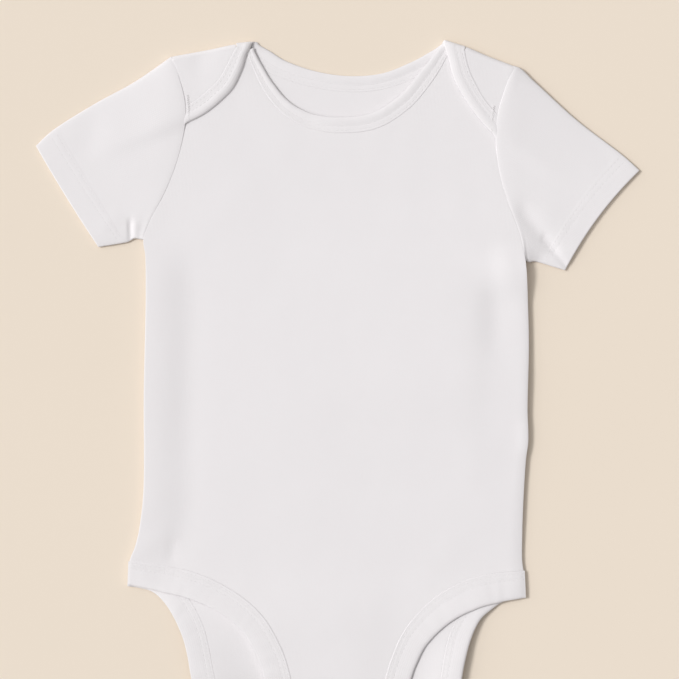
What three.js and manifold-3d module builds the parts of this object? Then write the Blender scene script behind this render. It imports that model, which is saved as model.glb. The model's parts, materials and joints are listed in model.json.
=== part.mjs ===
// A baby's short-sleeved lap-shoulder bodysuit, laid flat on its back.
// Millimetres. x runs across the garment, y from the crotch up to the neck, z up from the
// surface it lies on. Left and right are the viewer's, looking down at the front.
import * as THREE from "three";
import { mergeVertices } from "three/addons/utils/BufferGeometryUtils.js";
import Module from "manifold-3d";

const wasm = await Module();
wasm.setup();

// Cloth, seams and layers
const wall = 1.2; // one layer of cloth
const seamGap = 0.3; // clear space between pieces that are sewn together
const frontRest = 2.0; // inner face of the front where it lies flat over the back
const bindingRise = 0.4; // how far a binding stands above the face beside it
const innerRise = 0.2; // the same on the inner face of the back
const joinOverlap = 0.25; // how far the parts of one turned piece run into each other
const turnGap = 0.45; // half the space between two pieces where they turn over a fold
const frontShort = 0.5; // how far the front stops short of the fold over each shoulder
const neckBindingWidth = 10;

// Where the outlines that cut the cloth end, clear of it
const cut = { top: 460, side: 210, low: -60, under: -20, over: 20 };

// Grids of cloth: the rows below and above the armholes, the columns, how far up they go and how
// closely the columns crowd to the sides
const bodyGrid = { armhole: 282, top: 427, crowding: 0.85 };
const frontGrid = { below: 15, above: 17, columns: 20 };
const backGrid = { below: 11, above: 15, columns: 14 };
const lapGrid = { rows: 9, columns: 8, near: 56, far: 120, low: 352, high: 426 };

// The middle of the whole laid-out garment, which becomes the origin
const middle = { x: -3.6, y: 202.5 };

// Side seams and armholes: distance of each edge from the centre line, a row for each section
const bodySections = [
  { y: -40, left: 123.8, right: 122 },
  { y: 80, left: 123.8, right: 122 },
  { y: 95, left: 123.4, right: 121 },
  { y: 104, left: 120.4, right: 119.4 },
  { y: 115, left: 118.2, right: 118.6 },
  { y: 137, left: 116.5, right: 118 },
  { y: 167, left: 117.2, right: 119 },
  { y: 179, left: 117.8, right: 120.2 },
  { y: 200, left: 118.6, right: 119 },
  { y: 260, left: 119.7, right: 116.3 },
  { y: 284, left: 121, right: 114.6 },
  { y: 294, left: 122.6, right: 113.4 },
  { y: 306, left: 119, right: 110.4 },
  { y: 325, left: 110.2, right: 102.6 },
  { y: 345, left: 103.4, right: 96.2 },
  { y: 367, left: 99.6, right: 93 },
  { y: 381, left: 100.3, right: 93.9 },
  { y: 398, left: 105.4, right: 98.4 },
  { y: 410, left: 110.4, right: 102.5 },
  { y: 430, left: 116, right: 108 },
];
const armpit = { left: 294, right: 290 };

// Fold over each shoulder, from the armhole to the neck
const shoulderFold = [
  { left: [-109.7, 408.2], right: [102.6, 410.6] },
  { left: [-87, 413.3], right: [86, 416.2] },
  { left: [-72.5, 417.6], right: [72.4, 421.4] },
  { left: [-58, 420.8], right: [60, 425] },
];
const shoulderFoldReach = 2.5; // how far the turned cloth stands out past its two layers

// Seam where the front meets its neck binding, left to right
const frontNeckSeam = [
  [-66, 413.5],
  [-61.9, 404.9],
  [-51.8, 387.8],
  [-38.6, 374.8],
  [-20.8, 366.5],
  [-1, 364.9],
  [20, 368.9],
  [38.9, 381.8],
  [53, 399.9],
  [61.2, 415.3],
  [64.5, 421.5],
];

// The back's neck binding, left to right, run on past the shoulder fold at both ends
const backNeckBand = [
  { edge: [-61.5, 423.5], seam: [-75, 421] },
  { edge: [-58, 418.4], seam: [-69.5, 415.7] },
  { edge: [-49.5, 413], seam: [-56.8, 405.6] },
  { edge: [-38, 407], seam: [-42.6, 398.2] },
  { edge: [-20, 402.6], seam: [-22, 392.8] },
  { edge: [0, 400.4], seam: [0, 390.4] },
  { edge: [20.6, 402.7], seam: [22.6, 393] },
  { edge: [38, 410], seam: [43, 401.4] },
  { edge: [49.5, 417.6], seam: [56.8, 410.2] },
  { edge: [58.5, 422.8], seam: [71.5, 419.1] },
  { edge: [62.5, 427.5], seam: [77, 425] },
];

// The binding on each lap of the back, from past the shoulder fold to past the armhole
const lapBand = [
  { edgeLeft: [-56.8, 424.4], seamLeft: [-68.4, 421.5], edgeRight: [57, 428.5], seamRight: [70.6, 425] },
  { edgeLeft: [-58, 418.4], seamLeft: [-69.5, 415.7], edgeRight: [58.5, 422.8], seamRight: [71.5, 419.1] },
  { edgeLeft: [-61.8, 411.5], seamLeft: [-71.8, 411], edgeRight: [62, 412.8], seamRight: [73, 412.5] },
  { edgeLeft: [-65, 402.2], seamLeft: [-74.6, 405], edgeRight: [65.2, 402.2], seamRight: [75.5, 405.5] },
  { edgeLeft: [-70.3, 391.1], seamLeft: [-78.8, 396.5], edgeRight: [70.8, 392], seamRight: [79.3, 398.2] },
  { edgeLeft: [-77, 383], seamLeft: [-84, 390.2], edgeRight: [77.9, 382], seamRight: [85.1, 389] },
  { edgeLeft: [-87.5, 373.5], seamLeft: [-93.5, 381.5], edgeRight: [86.2, 372.6], seamRight: [92.5, 380.8] },
  { edgeLeft: [-99.5, 367], seamLeft: [-104.5, 375.6], edgeRight: [94, 364.8], seamRight: [100, 373] },
  { edgeLeft: [-110, 362.5], seamLeft: [-114, 371.6], edgeRight: [101, 358], seamRight: [107, 366] },
];
const lapLift = { neck: 0.75, armhole: 0.15 }; // air under a lap above the front

// Front leg seams, from the hip to the end of the crotch tab, and the width of the leg band there
const frontLegSeam = [
  { left: [-124.5, 94.6], leftWidth: 14.8, right: [123, 98.6], rightWidth: 16.2 },
  { left: [-99, 92.6], leftWidth: 16.6, right: [101, 95.9], rightWidth: 17.8 },
  { left: [-77.3, 87.7], leftWidth: 16.4, right: [82.4, 89.8], rightWidth: 18 },
  { left: [-55.4, 77.1], leftWidth: 15.6, right: [64, 77.8], rightWidth: 17.6 },
  { left: [-38.7, 63], leftWidth: 15.7, right: [48.6, 59.6], rightWidth: 16.6 },
  { left: [-26.8, 43.5], leftWidth: 16.1, right: [40.9, 41.5], rightWidth: 15.8 },
  { left: [-20.7, 25.6], leftWidth: 16, right: [37, 26], rightWidth: 15.5 },
  { left: [-16.4, 4], leftWidth: 15.6, right: [33.4, 4], rightWidth: 15.5 },
  { left: [-14.6, -15], leftWidth: 15.5, right: [31.6, -15], rightWidth: 15.5 },
];

// Back leg bands, from the hip to the crotch fold: the seam and the free edge at each section
const backLegBand = [
  { seamLeft: [-124.3, 94.3], edgeLeft: [-124.3, 79.3], seamRight: [122.6, 98], edgeRight: [122.6, 82.6] },
  { seamLeft: [-108, 91.5], edgeLeft: [-110, 76.8], seamRight: [108, 93.5], edgeRight: [110, 79.2] },
  { seamLeft: [-94, 82.5], edgeLeft: [-101.6, 70.6], seamRight: [94.5, 85], edgeRight: [100.8, 72.8] },
  { seamLeft: [-83.6, 70], edgeLeft: [-94.7, 61], seamRight: [83.6, 72.5], edgeRight: [94.4, 66.2] },
  { seamLeft: [-76.2, 56.5], edgeLeft: [-88.8, 49], seamRight: [76.2, 57.5], edgeRight: [89.6, 54.8] },
  { seamLeft: [-71.8, 42], edgeLeft: [-85.3, 37.6], seamRight: [73.2, 42], edgeRight: [86.6, 42] },
  { seamLeft: [-68.3, 27], edgeLeft: [-82.8, 25.6], seamRight: [71.4, 28], edgeRight: [84.6, 28] },
  { seamLeft: [-64.5, 14.5], edgeLeft: [-78.8, 9.6], seamRight: [68.4, 15], edgeRight: [83.2, 11] },
  { seamLeft: [-55.5, 3], edgeLeft: [-67.6, -5], seamRight: [61.5, 3.5], edgeRight: [74.8, -4.6] },
  { seamLeft: [-40.5, -5], edgeLeft: [-54, -12], seamRight: [50.5, -5], edgeRight: [63.5, -12] },
  { seamLeft: [-27.5, -16], edgeLeft: [-43.5, -16], seamRight: [40, -16], edgeRight: [57, -16] },
];

// Crotch: the back ends in a flap that turns up over the front tab and snaps onto it
const crotch = { foldLine: -16, tabEnd: -15, flapHem: 8, centre: 8.4 };
const flapEnd = { seamLeft: -14.6, edgeLeft: -30, seamRight: 31.6, edgeRight: 47 };
const crotchFoldReach = 3.6; // how far the turned cloth stands out past the fold line
const tabRaise = 0.6; // lift of the front tab over the backs of the snaps
const flapRest = 6.1; // inner face of the flap over the snaps
const flapDrop = 1.2; // how far the flap comes down from there to its hem

// Snaps: a stud through the tab and a socket through the flap
const snaps = { count: 3, pitch: 17, line: -6 };
const snapBody = {
  flange: 4.5,
  round: 0.3,
  post: 1.6,
  button: 3.4,
  knob: 1.8,
  ring: 3.6,
  recess: 2.2,
  sides: 16,
};
const studHeights = { low: 1.5, flange: 2.3, button: 4.1, face: 4.5, tip: 5.2 };
const socketHeights = { low: 4.9, ceiling: 5.5, ring: 5.8, cap: 7.6, rim: 8.0, top: 8.45 };
const snapHole = snapBody.post + seamGap;
const tabHoles = { low: 1.5, high: 4.5 };
const flapHoles = { low: 5, high: 9 };

// Sleeves: the top fold and the underarm seam at each section past the armhole, and how far the
// section bows in from a straight line between them. The last two rows are the hem and the cuff.
const sleeveSections = {
  left: [
    { top: [-132, 391.6], under: [-127.8, 294.6], bow: 0 },
    { top: [-155, 377.8], under: [-130.6, 293.4], bow: 0 },
    { top: [-179.8, 361], under: [-134, 291.8], bow: -0.4 },
    { top: [-191, 350.2], under: [-149.6, 288.6], bow: -0.7 },
  ],
  right: [
    { top: [122, 398.2], under: [116.8, 289.2], bow: 0 },
    { top: [145, 378.9], under: [120, 289.9], bow: 1.5 },
    { top: [171.3, 359.7], under: [125, 289.2], bow: 3 },
    { top: [183.5, 349.2], under: [140.2, 285.8], bow: 3.4 },
  ],
};
const sleeveHeight = { armhole: 4.1, cap: 0.8, cuff: 4.0, seam: 1.9 };
const hemRise = 0.3; // how far the turned hem stands above the sleeve
const hemLayer = 0.8; // the turned cloth inside the hem
const armholeGap = 0.45; // space across the garment between a sleeve and the body
const sleeveColumns = 12;
const sleeveEdge = { squareness: 8, crowding: 0.8, wallShare: 2.4 }; // the roundness of the two folds
const sleeveCap = { along: 0.12, reach: 0.16, across: 0.22, width: 0.3 }; // the fullness at the armhole

// Soft ridges and troughs: the line of each, its half width and its height or depth
const sideRidge = { inset: 7, width: 6.5, height: 1.8 };
const sideValley = { inset: 26, width: 10, height: 0.25 };
const sideSeam = { lift: 0.4, drop: 0.65 }; // how the back turns up and the front down at the side
const frontFolds = [
  { from: [-123, 97], to: [-102, 115], width: 6, height: 0.9 },
  { from: [-98, 98], to: [-97, 107], width: 4, height: -0.5 },
  { from: [121, 176], to: [119, 186], width: 5, height: 0.7 },
  { from: [-92, 405], to: [-88, 414], width: 6, height: -0.3 },
];
const sleeveFolds = {
  left: [
    { from: [-130.5, 293], to: [-132, 303], width: 3, height: -0.9 },
    { from: [-160, 352], to: [-156, 364], width: 8, height: -0.4 },
  ],
  right: [
    { from: [113, 318], to: [137, 292], width: 5, height: -1.1 },
    { from: [122, 322], to: [141, 300], width: 6, height: 0.5 },
  ],
};

const lerp = THREE.MathUtils.lerp;
const smooth = THREE.MathUtils.smoothstep;
const bell = (value) => Math.exp(-value * value);
const sideNames = ["left", "right"];
const outward = { left: -1, right: 1 };

// One column of the table of sections at height y, on a smooth curve through its rows
function columnAt(rows, column, y) {
  const last = rows.length - 1;
  const slope = (k) => {
    const below = rows[Math.max(k - 1, 0)];
    const above = rows[Math.min(k + 1, last)];
    return (above[column] - below[column]) / (above.y - below.y);
  };
  let i = 0;
  while (i < last - 1 && rows[i + 1].y < y) {
    i += 1;
  }
  const span = rows[i + 1].y - rows[i].y;
  const t = THREE.MathUtils.clamp((y - rows[i].y) / span, 0, 1);
  const start = rows[i][column];
  const end = rows[i + 1][column];
  const bend = t * (1 - t) * span * (slope(i) * (1 - t) - slope(i + 1) * t);
  return lerp(start, end, t * t * (3 - 2 * t)) + bend;
}

const edgeX = (side, y) => outward[side] * columnAt(bodySections, side, y);

function foldHeight(folds, x, y) {
  let height = 0;
  for (const fold of folds) {
    const line = new THREE.Line3(new THREE.Vector3(...fold.from, 0), new THREE.Vector3(...fold.to, 0));
    const point = new THREE.Vector3(x, y, 0);
    const nearest = line.closestPointToPoint(point, true, new THREE.Vector3());
    height += fold.height * bell(point.distanceTo(nearest) / fold.width);
  }
  return height;
}

// Heights of the layers over any point of the plan
function edgeDistance(x, y) {
  return Math.max(Math.min(x - edgeX("left", y), edgeX("right", y) - x), 0);
}

// The side seams run from the leg bands up to the armholes and fade out at both ends
const backLiftShare = (y) => smooth(y, 68, 78) * (1 - smooth(y, 284, 300));

function sideRidgeShare(y) {
  const hip = lerp(0.5, 1, smooth(y, 92, 125)) * smooth(y, 55, 78);
  return hip * (1 - smooth(y, 262, 302));
}

function backUnder(x, y) {
  return sideSeam.lift * (1 - smooth(edgeDistance(x, y), 0, 5)) * backLiftShare(y);
}

function frontUnder(x, y) {
  const inset = edgeDistance(x, y);
  const ridge = sideRidge.height * bell((inset - sideRidge.inset) / sideRidge.width);
  const valley = sideValley.height * bell((inset - sideValley.inset) / sideValley.width);
  const drop = sideSeam.drop * (1 - smooth(inset, 0, 3)) * smooth(y, 96, 112);
  const tab = tabRaise * (1 - smooth(y, 4, 26));
  return frontRest + sideRidgeShare(y) * (ridge - valley - drop) + foldHeight(frontFolds, x, y) + tab;
}

function lapUnder(x, y) {
  const lift = lerp(lapLift.neck, lapLift.armhole, smooth(Math.abs(x), 62, 96));
  return frontUnder(x, y) + wall + seamGap + lift;
}

const flapUnder = (x, y) => flapRest - flapDrop * smooth(y, snaps.line + snapBody.flange, crotch.flapHem);
const over = (under, rise = 0) => (x, y) => under(x, y) + wall + rise;

// Plan curves
const spline = (points) => new THREE.SplineCurve(points.map((point) => new THREE.Vector2(...point)));
const columnOf = (rows, column) => rows.map((row) => row[column]);

// The line that runs beside a curve, on the right of its direction of travel
function beside(curve, distance) {
  return (t) => {
    const tangent = curve.getTangent(t);
    const point = curve.getPoint(t);
    return [point.x + tangent.y * distance, point.y - tangent.x * distance];
  };
}

// The same line between two places along it
const portion = (line, from, to) => (t) => line(lerp(from, to, t));

function sample(line, count) {
  const points = [];
  for (let i = 0; i <= count; i += 1) {
    points.push(line(i / count));
  }
  return points;
}

function oriented(positions, index) {
  const corner = (k) => new THREE.Vector3(positions[3 * k], positions[3 * k + 1], positions[3 * k + 2]);
  let volume = 0;
  for (let k = 0; k < index.length; k += 3) {
    volume += corner(index[k]).dot(corner(index[k + 1]).cross(corner(index[k + 2])));
  }
  const geometry = new THREE.BufferGeometry();
  geometry.setAttribute("position", new THREE.Float32BufferAttribute(positions, 3));
  geometry.setIndex(volume < 0 ? index.slice().reverse() : index);
  return geometry;
}

// A closed piece of cloth between two grids of points: outer is its face, inner its other side
function thickSheet(rows, columns, outer, inner) {
  const stride = columns + 1;
  const layer = (rows + 1) * stride;
  const positions = [];
  for (const face of [outer, inner]) {
    for (let i = 0; i <= rows; i += 1) {
      for (let j = 0; j <= columns; j += 1) {
        positions.push(...face(i / rows, j / columns));
      }
    }
  }
  const index = [];
  const quad = (a, b, c, d) => index.push(a, b, c, a, c, d);
  for (let i = 0; i < rows; i += 1) {
    for (let j = 0; j < columns; j += 1) {
      const k = i * stride + j;
      quad(k, k + 1, k + stride + 1, k + stride);
      quad(layer + k, layer + k + stride, layer + k + stride + 1, layer + k + 1);
    }
  }
  for (let j = 0; j < columns; j += 1) {
    const far = rows * stride + j;
    quad(layer + j, layer + j + 1, j + 1, j);
    quad(layer + far + 1, layer + far, far, far + 1);
  }
  for (let i = 0; i < rows; i += 1) {
    const near = i * stride;
    const far = near + columns;
    quad(layer + near + stride, layer + near, near, near + stride);
    quad(layer + far, layer + far + stride, far + stride, far);
  }
  return oriented(positions, index);
}

// A tube of cloth, open at both ends, from the outer and inner loop of points of each ring
function thickTube(outerRings, innerRings) {
  const around = outerRings[0].length;
  const rings = outerRings.length;
  const layer = rings * around;
  const positions = [...outerRings, ...innerRings].flat(2);
  const index = [];
  const quad = (a, b, c, d) => index.push(a, b, c, a, c, d);
  for (let j = 0; j < around; j += 1) {
    const next = (j + 1) % around;
    const last = (rings - 1) * around;
    for (let k = 0; k < last; k += around) {
      quad(k + j, k + next, k + around + next, k + around + j);
      quad(layer + k + j, layer + k + around + j, layer + k + around + next, layer + k + next);
    }
    quad(layer + j, layer + next, next, j);
    quad(layer + last + next, layer + last + j, last + j, last + next);
  }
  return oriented(positions, index);
}

// Solids for joining and cutting
function toSolid(geometry) {
  const plain = geometry.clone();
  plain.deleteAttribute("normal");
  plain.deleteAttribute("uv");
  const merged = mergeVertices(plain);
  const vertProperties = new Float32Array(merged.getAttribute("position").array);
  const triVerts = new Uint32Array(merged.index.array);
  return new wasm.Manifold(new wasm.Mesh({ numProp: 3, vertProperties, triVerts }));
}

function toGeometry(solid) {
  const mesh = solid.getMesh();
  const geometry = new THREE.BufferGeometry();
  geometry.setAttribute("position", new THREE.BufferAttribute(mesh.vertProperties, 3));
  geometry.setIndex(new THREE.BufferAttribute(mesh.triVerts, 1));
  geometry.computeVertexNormals();
  return geometry;
}

function prism(outline, low = cut.under, high = cut.over) {
  const shape = new THREE.Shape(outline.map((point) => new THREE.Vector2(...point)));
  const geometry = new THREE.ExtrudeGeometry(shape, { depth: high - low, bevelEnabled: false });
  geometry.translate(0, 0, low);
  return toSolid(geometry);
}

// Cloth over a grid of plan points, from one height to another
function cloth(rows, columns, plan, under, top) {
  const lift = (height) => (s, t) => {
    const [x, y] = plan(s, t);
    return [x, y, height(x, y)];
  };
  return toSolid(thickSheet(rows, columns, lift(top), lift(under)));
}

// A strip of cloth between two lines in the plan
function strip(along, across, lineA, lineB, under, top) {
  const plan = (s, t) => {
    const a = lineA(s);
    const b = lineB(s);
    return [lerp(a[0], b[0], t), lerp(a[1], b[1], t)];
  };
  return cloth(along, across, plan, under, top);
}

// A share of the way across, moved nearer to the two ends
const crowded = (t, amount) => lerp(t, (1 - Math.cos(Math.PI * t)) / 2, amount);

// The width of the body from the crotch to the shoulders
function bodyCloth({ below, above, columns }, low, under) {
  const rows = below + above;
  const { armhole, top, crowding } = bodyGrid;
  const plan = (s, t) => {
    const row = s * rows;
    const y = row < below ? lerp(low, armhole, row / below) : lerp(armhole, top, (row - below) / above);
    return [lerp(edgeX("left", y), edgeX("right", y), crowded(t, crowding)), y];
  };
  return cloth(rows, columns, plan, under, over(under));
}

// Cloth turned over a fold line, from the lower layer up to the height of the upper one. Its first
// and last columns run straight on into the two layers.
function turnedCloth(steps, line, reach, top) {
  const arcSteps = 6;
  const columns = arcSteps + 2;
  const face = (thickness) => (s, t) => {
    const { point, normal } = line(s);
    const height = top(...point);
    const turn = THREE.MathUtils.clamp((t * columns - 1) / arcSteps, 0, 1) * Math.PI - Math.PI / 2;
    const back = t * columns < 0.5 || t * columns > columns - 0.5 ? joinOverlap : 0;
    const out = (reach - thickness) * Math.cos(turn) - back;
    const z = height / 2 + (height / 2 - thickness) * Math.sin(turn);
    return [point[0] + normal[0] * out, point[1] + normal[1] * out, z];
  };
  return toSolid(thickSheet(steps, columns, face(0), face(wall)));
}

// Shoulders: the axis of each fold, and what lies past it
const curvesOf = (rows, left, right) => ({
  left: spline(columnOf(rows, left)),
  right: spline(columnOf(rows, right)),
});
const shoulderCurve = curvesOf(shoulderFold, "left", "right");

const shoulderAxis = (side, extra = 0) =>
  beside(shoulderCurve[side], -outward[side] * (shoulderFoldReach + extra));

const neckClear = 6; // how far the cut runs on past the neck end of the fold

function pastShoulder(side, extra = 0) {
  const points = sample(shoulderAxis(side, extra), 12);
  const [armholeEnd, second] = points;
  const [beforeNeck, neckEnd] = points.slice(-2);
  const rise = (armholeEnd[1] - second[1]) / (armholeEnd[0] - second[0]);
  const neckRise = (neckEnd[1] - beforeNeck[1]) / (neckEnd[0] - beforeNeck[0]);
  const far = outward[side] * cut.side;
  const near = neckEnd[0] - outward[side] * neckClear;
  return prism([
    [far, armholeEnd[1] + rise * (far - armholeEnd[0])],
    ...points,
    [near, neckEnd[1] + neckRise * (near - neckEnd[0])],
    [near, cut.top],
    [far, cut.top],
  ]);
}

// The place along a shoulder's axis at distance x from the centre line
function alongShoulder(side, x) {
  let low = 0;
  let high = 1;
  for (let i = 0; i < 24; i += 1) {
    const mid = (low + high) / 2;
    if (Math.abs(shoulderAxis(side)(mid)[0]) > Math.abs(x)) {
      low = mid;
    } else {
      high = mid;
    }
  }
  return low;
}

function shoulderTurn(side, fromX, toX, steps) {
  const from = alongShoulder(side, fromX);
  const to = alongShoulder(side, toX);
  const line = (s) => {
    const place = lerp(from, to, s);
    const tangent = shoulderCurve[side].getTangent(place);
    const normal = [outward[side] * tangent.y, -outward[side] * tangent.x];
    return { point: shoulderAxis(side)(place), normal };
  };
  return turnedCloth(steps, line, shoulderFoldReach, over(lapUnder));
}

// What lies past an armhole, from just under the laps up
function pastArmhole(side) {
  const low = 330;
  const high = 430;
  const points = sample((t) => [edgeX(side, lerp(low, high, t)), lerp(low, high, t)], 20);
  return prism([...points, [outward[side] * cut.side, high], [outward[side] * cut.side, low]]);
}

const legSeam = curvesOf(frontLegSeam, "left", "right");
const legBandWidth = {
  left: spline(frontLegSeam.map((row, i) => [i, row.leftWidth])),
  right: spline(frontLegSeam.map((row, i) => [i, row.rightWidth])),
};
const neckSeam = spline(frontNeckSeam);
const lapRows = lapBand.length - 1;
const neckRows = backNeckBand.length - 1;
const lapSeam = curvesOf(lapBand, "seamLeft", "seamRight");
const lapEdge = curvesOf(lapBand, "edgeLeft", "edgeRight");
const backNeckSeam = spline(columnOf(backNeckBand, "seam"));
const backLegSeam = curvesOf(backLegBand, "seamLeft", "seamRight");
const backLegEdge = curvesOf(backLegBand, "edgeLeft", "edgeRight");
const columnFor = {
  left: { seam: "seamLeft", edge: "edgeLeft" },
  right: { seam: "seamRight", edge: "edgeRight" },
};

// Where a line of the lap's binding crosses the shoulder fold, from the centre line
const crossingX = (side, line) => Math.abs(lapBand[1][columnFor[side][line]][0]);

function aboveNeck(points) {
  return prism([...points, [points[points.length - 1][0], cut.top], [points[0][0], cut.top]]);
}

// What lies outside a leg seam, from the hip down past the crotch
function outsideLeg(side, points) {
  const far = outward[side] * cut.side;
  const last = points[points.length - 1];
  return prism([[far, points[0][1]], ...points, [last[0], cut.low], [far, cut.low]]);
}

function snapPlaces() {
  const first = crotch.centre - (snaps.pitch * (snaps.count - 1)) / 2;
  return Array.from({ length: snaps.count }, (_, i) => [first + i * snaps.pitch, snaps.line]);
}

function snapHoles({ low, high }) {
  const circle = (x, y) => sample((t) => [
    x + snapHole * Math.cos(2 * Math.PI * t),
    y + snapHole * Math.sin(2 * Math.PI * t),
  ], snapBody.sides).slice(1);
  return snapPlaces().map(([x, y]) => prism(circle(x, y), low, high));
}

const subtractAll = (solid, cuts) => cuts.reduce((rest, cut) => rest.subtract(cut), solid);
const addAll = (solids) => solids.reduce((all, next) => all.add(next));

function frontPanel() {
  const legs = sideNames.map((side) => outsideLeg(side, sample(beside(legSeam[side], 0), 40)));
  const shoulders = sideNames.map((side) => pastShoulder(side, frontShort));
  const neck = aboveNeck(sample(beside(neckSeam, 0), 40));
  const panel = bodyCloth(frontGrid, crotch.tabEnd, frontUnder);
  return subtractAll(panel, [...legs, ...shoulders, neck, ...snapHoles(tabHoles)]);
}

// One shoulder's lap, which turns over the fold and comes down on the front
function lapCloth(side) {
  const outer = shoulderAxis(side)(0);
  const crossing = alongShoulder(side, crossingX(side, "seam") + turnGap);
  const axis = sample(portion(shoulderAxis(side), 0, crossing), 8);
  const seam = sample(portion(beside(lapSeam[side], -outward[side] * seamGap), 1.1 / lapRows, 1), 24);
  const outline = prism([[outer[0] + outward[side] * 8, outer[1] - 2], ...axis, ...seam]);
  const { rows, columns, near, far, low, high } = lapGrid;
  const plan = (s, t) => [outward[side] * lerp(near, far, t), lerp(low, high, s)];
  return cloth(rows, columns, plan, lapUnder, over(lapUnder)).intersect(outline);
}

// The flap that the back ends in, turned up over the crotch
function flapCloth() {
  const { foldLine, flapHem } = crotch;
  const fold = backLegBand[backLegBand.length - 1];
  const left = (s) => [lerp(fold.seamLeft[0], flapEnd.seamLeft, s) + seamGap, lerp(foldLine, flapHem, s)];
  const right = (s) => [lerp(fold.seamRight[0], flapEnd.seamRight, s) - seamGap, lerp(foldLine, flapHem, s)];
  const flap = strip(8, 8, left, right, flapUnder, over(flapUnder));
  return addAll([flap, crotchTurn(fold.seamLeft[0] + turnGap, fold.seamRight[0] - turnGap, 6)]);
}

function crotchTurn(fromX, toX, steps) {
  const line = (s) => ({ point: [lerp(fromX, toX, s), crotch.foldLine], normal: [0, -1] });
  return turnedCloth(steps, line, crotchFoldReach, over(flapUnder));
}

function backPanel() {
  const legs = sideNames.map((side) => {
    const inner = beside(backLegSeam[side], outward[side] * seamGap);
    return outsideLeg(side, sample(inner, 40));
  });
  const shoulders = sideNames.map((side) => pastShoulder(side));
  const neck = aboveNeck(sample(beside(backNeckSeam, seamGap), 40));
  const seat = subtractAll(bodyCloth(backGrid, crotch.foldLine, backUnder), [...legs, ...shoulders, neck]);
  const laps = sideNames.map((side) => {
    const turn = shoulderTurn(side, cut.side, crossingX(side, "seam") + turnGap, 8);
    return lapCloth(side).add(turn).subtract(pastArmhole(side));
  });
  return subtractAll(addAll([seat, ...laps, flapCloth()]), snapHoles(flapHoles));
}

function frontNeckBinding() {
  const inner = beside(neckSeam, -seamGap);
  const free = beside(neckSeam, -neckBindingWidth);
  const band = strip(36, 2, inner, free, frontUnder, over(frontUnder, bindingRise));
  return subtractAll(band, sideNames.map((side) => pastShoulder(side, frontShort)));
}

function backNeckBinding() {
  const edge = beside(spline(columnOf(backNeckBand, "edge")), 0);
  const neck = (line) => portion(line, 1 / neckRows, 1 - 1 / neckRows);
  const seam = neck(beside(backNeckSeam, 0));
  const pieces = [strip(24, 2, seam, neck(edge), backUnder, over(backUnder, innerRise))];
  for (const side of sideNames) {
    const lap = (curve) => portion(beside(curve, 0), 1 / lapRows, 1);
    const band = strip(20, 2, lap(lapSeam[side]), lap(lapEdge[side]), lapUnder, over(lapUnder, bindingRise));
    const turn = shoulderTurn(side, crossingX(side, "seam") - turnGap, crossingX(side, "edge"), 3);
    pieces.push(band.subtract(pastArmhole(side)), turn);
  }
  return addAll(pieces);
}

function frontLegBand(side) {
  const sign = -outward[side];
  const inner = beside(legSeam[side], sign * seamGap);
  const free = (t) => beside(legSeam[side], sign * legBandWidth[side].getPoint(t).y)(t);
  return strip(30, 2, inner, free, frontUnder, over(frontUnder, bindingRise));
}

function backLegBandCloth(side) {
  const { seam: seamColumn, edge: edgeColumn } = columnFor[side];
  const fold = backLegBand[backLegBand.length - 1];
  const seat = strip(
    30, 2, beside(backLegSeam[side], 0), beside(backLegEdge[side], 0), backUnder, over(backUnder, innerRise),
  );
  const flapLine = (column) => (s) => [
    lerp(fold[column][0], flapEnd[column], s),
    lerp(crotch.foldLine, crotch.flapHem, s),
  ];
  const flap = strip(5, 2, flapLine(seamColumn), flapLine(edgeColumn), flapUnder, over(flapUnder, innerRise));
  const turn = crotchTurn(fold[seamColumn][0] + outward[side] * turnGap, fold[edgeColumn][0], 3);
  return addAll([seat, turn, flap]);
}

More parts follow.
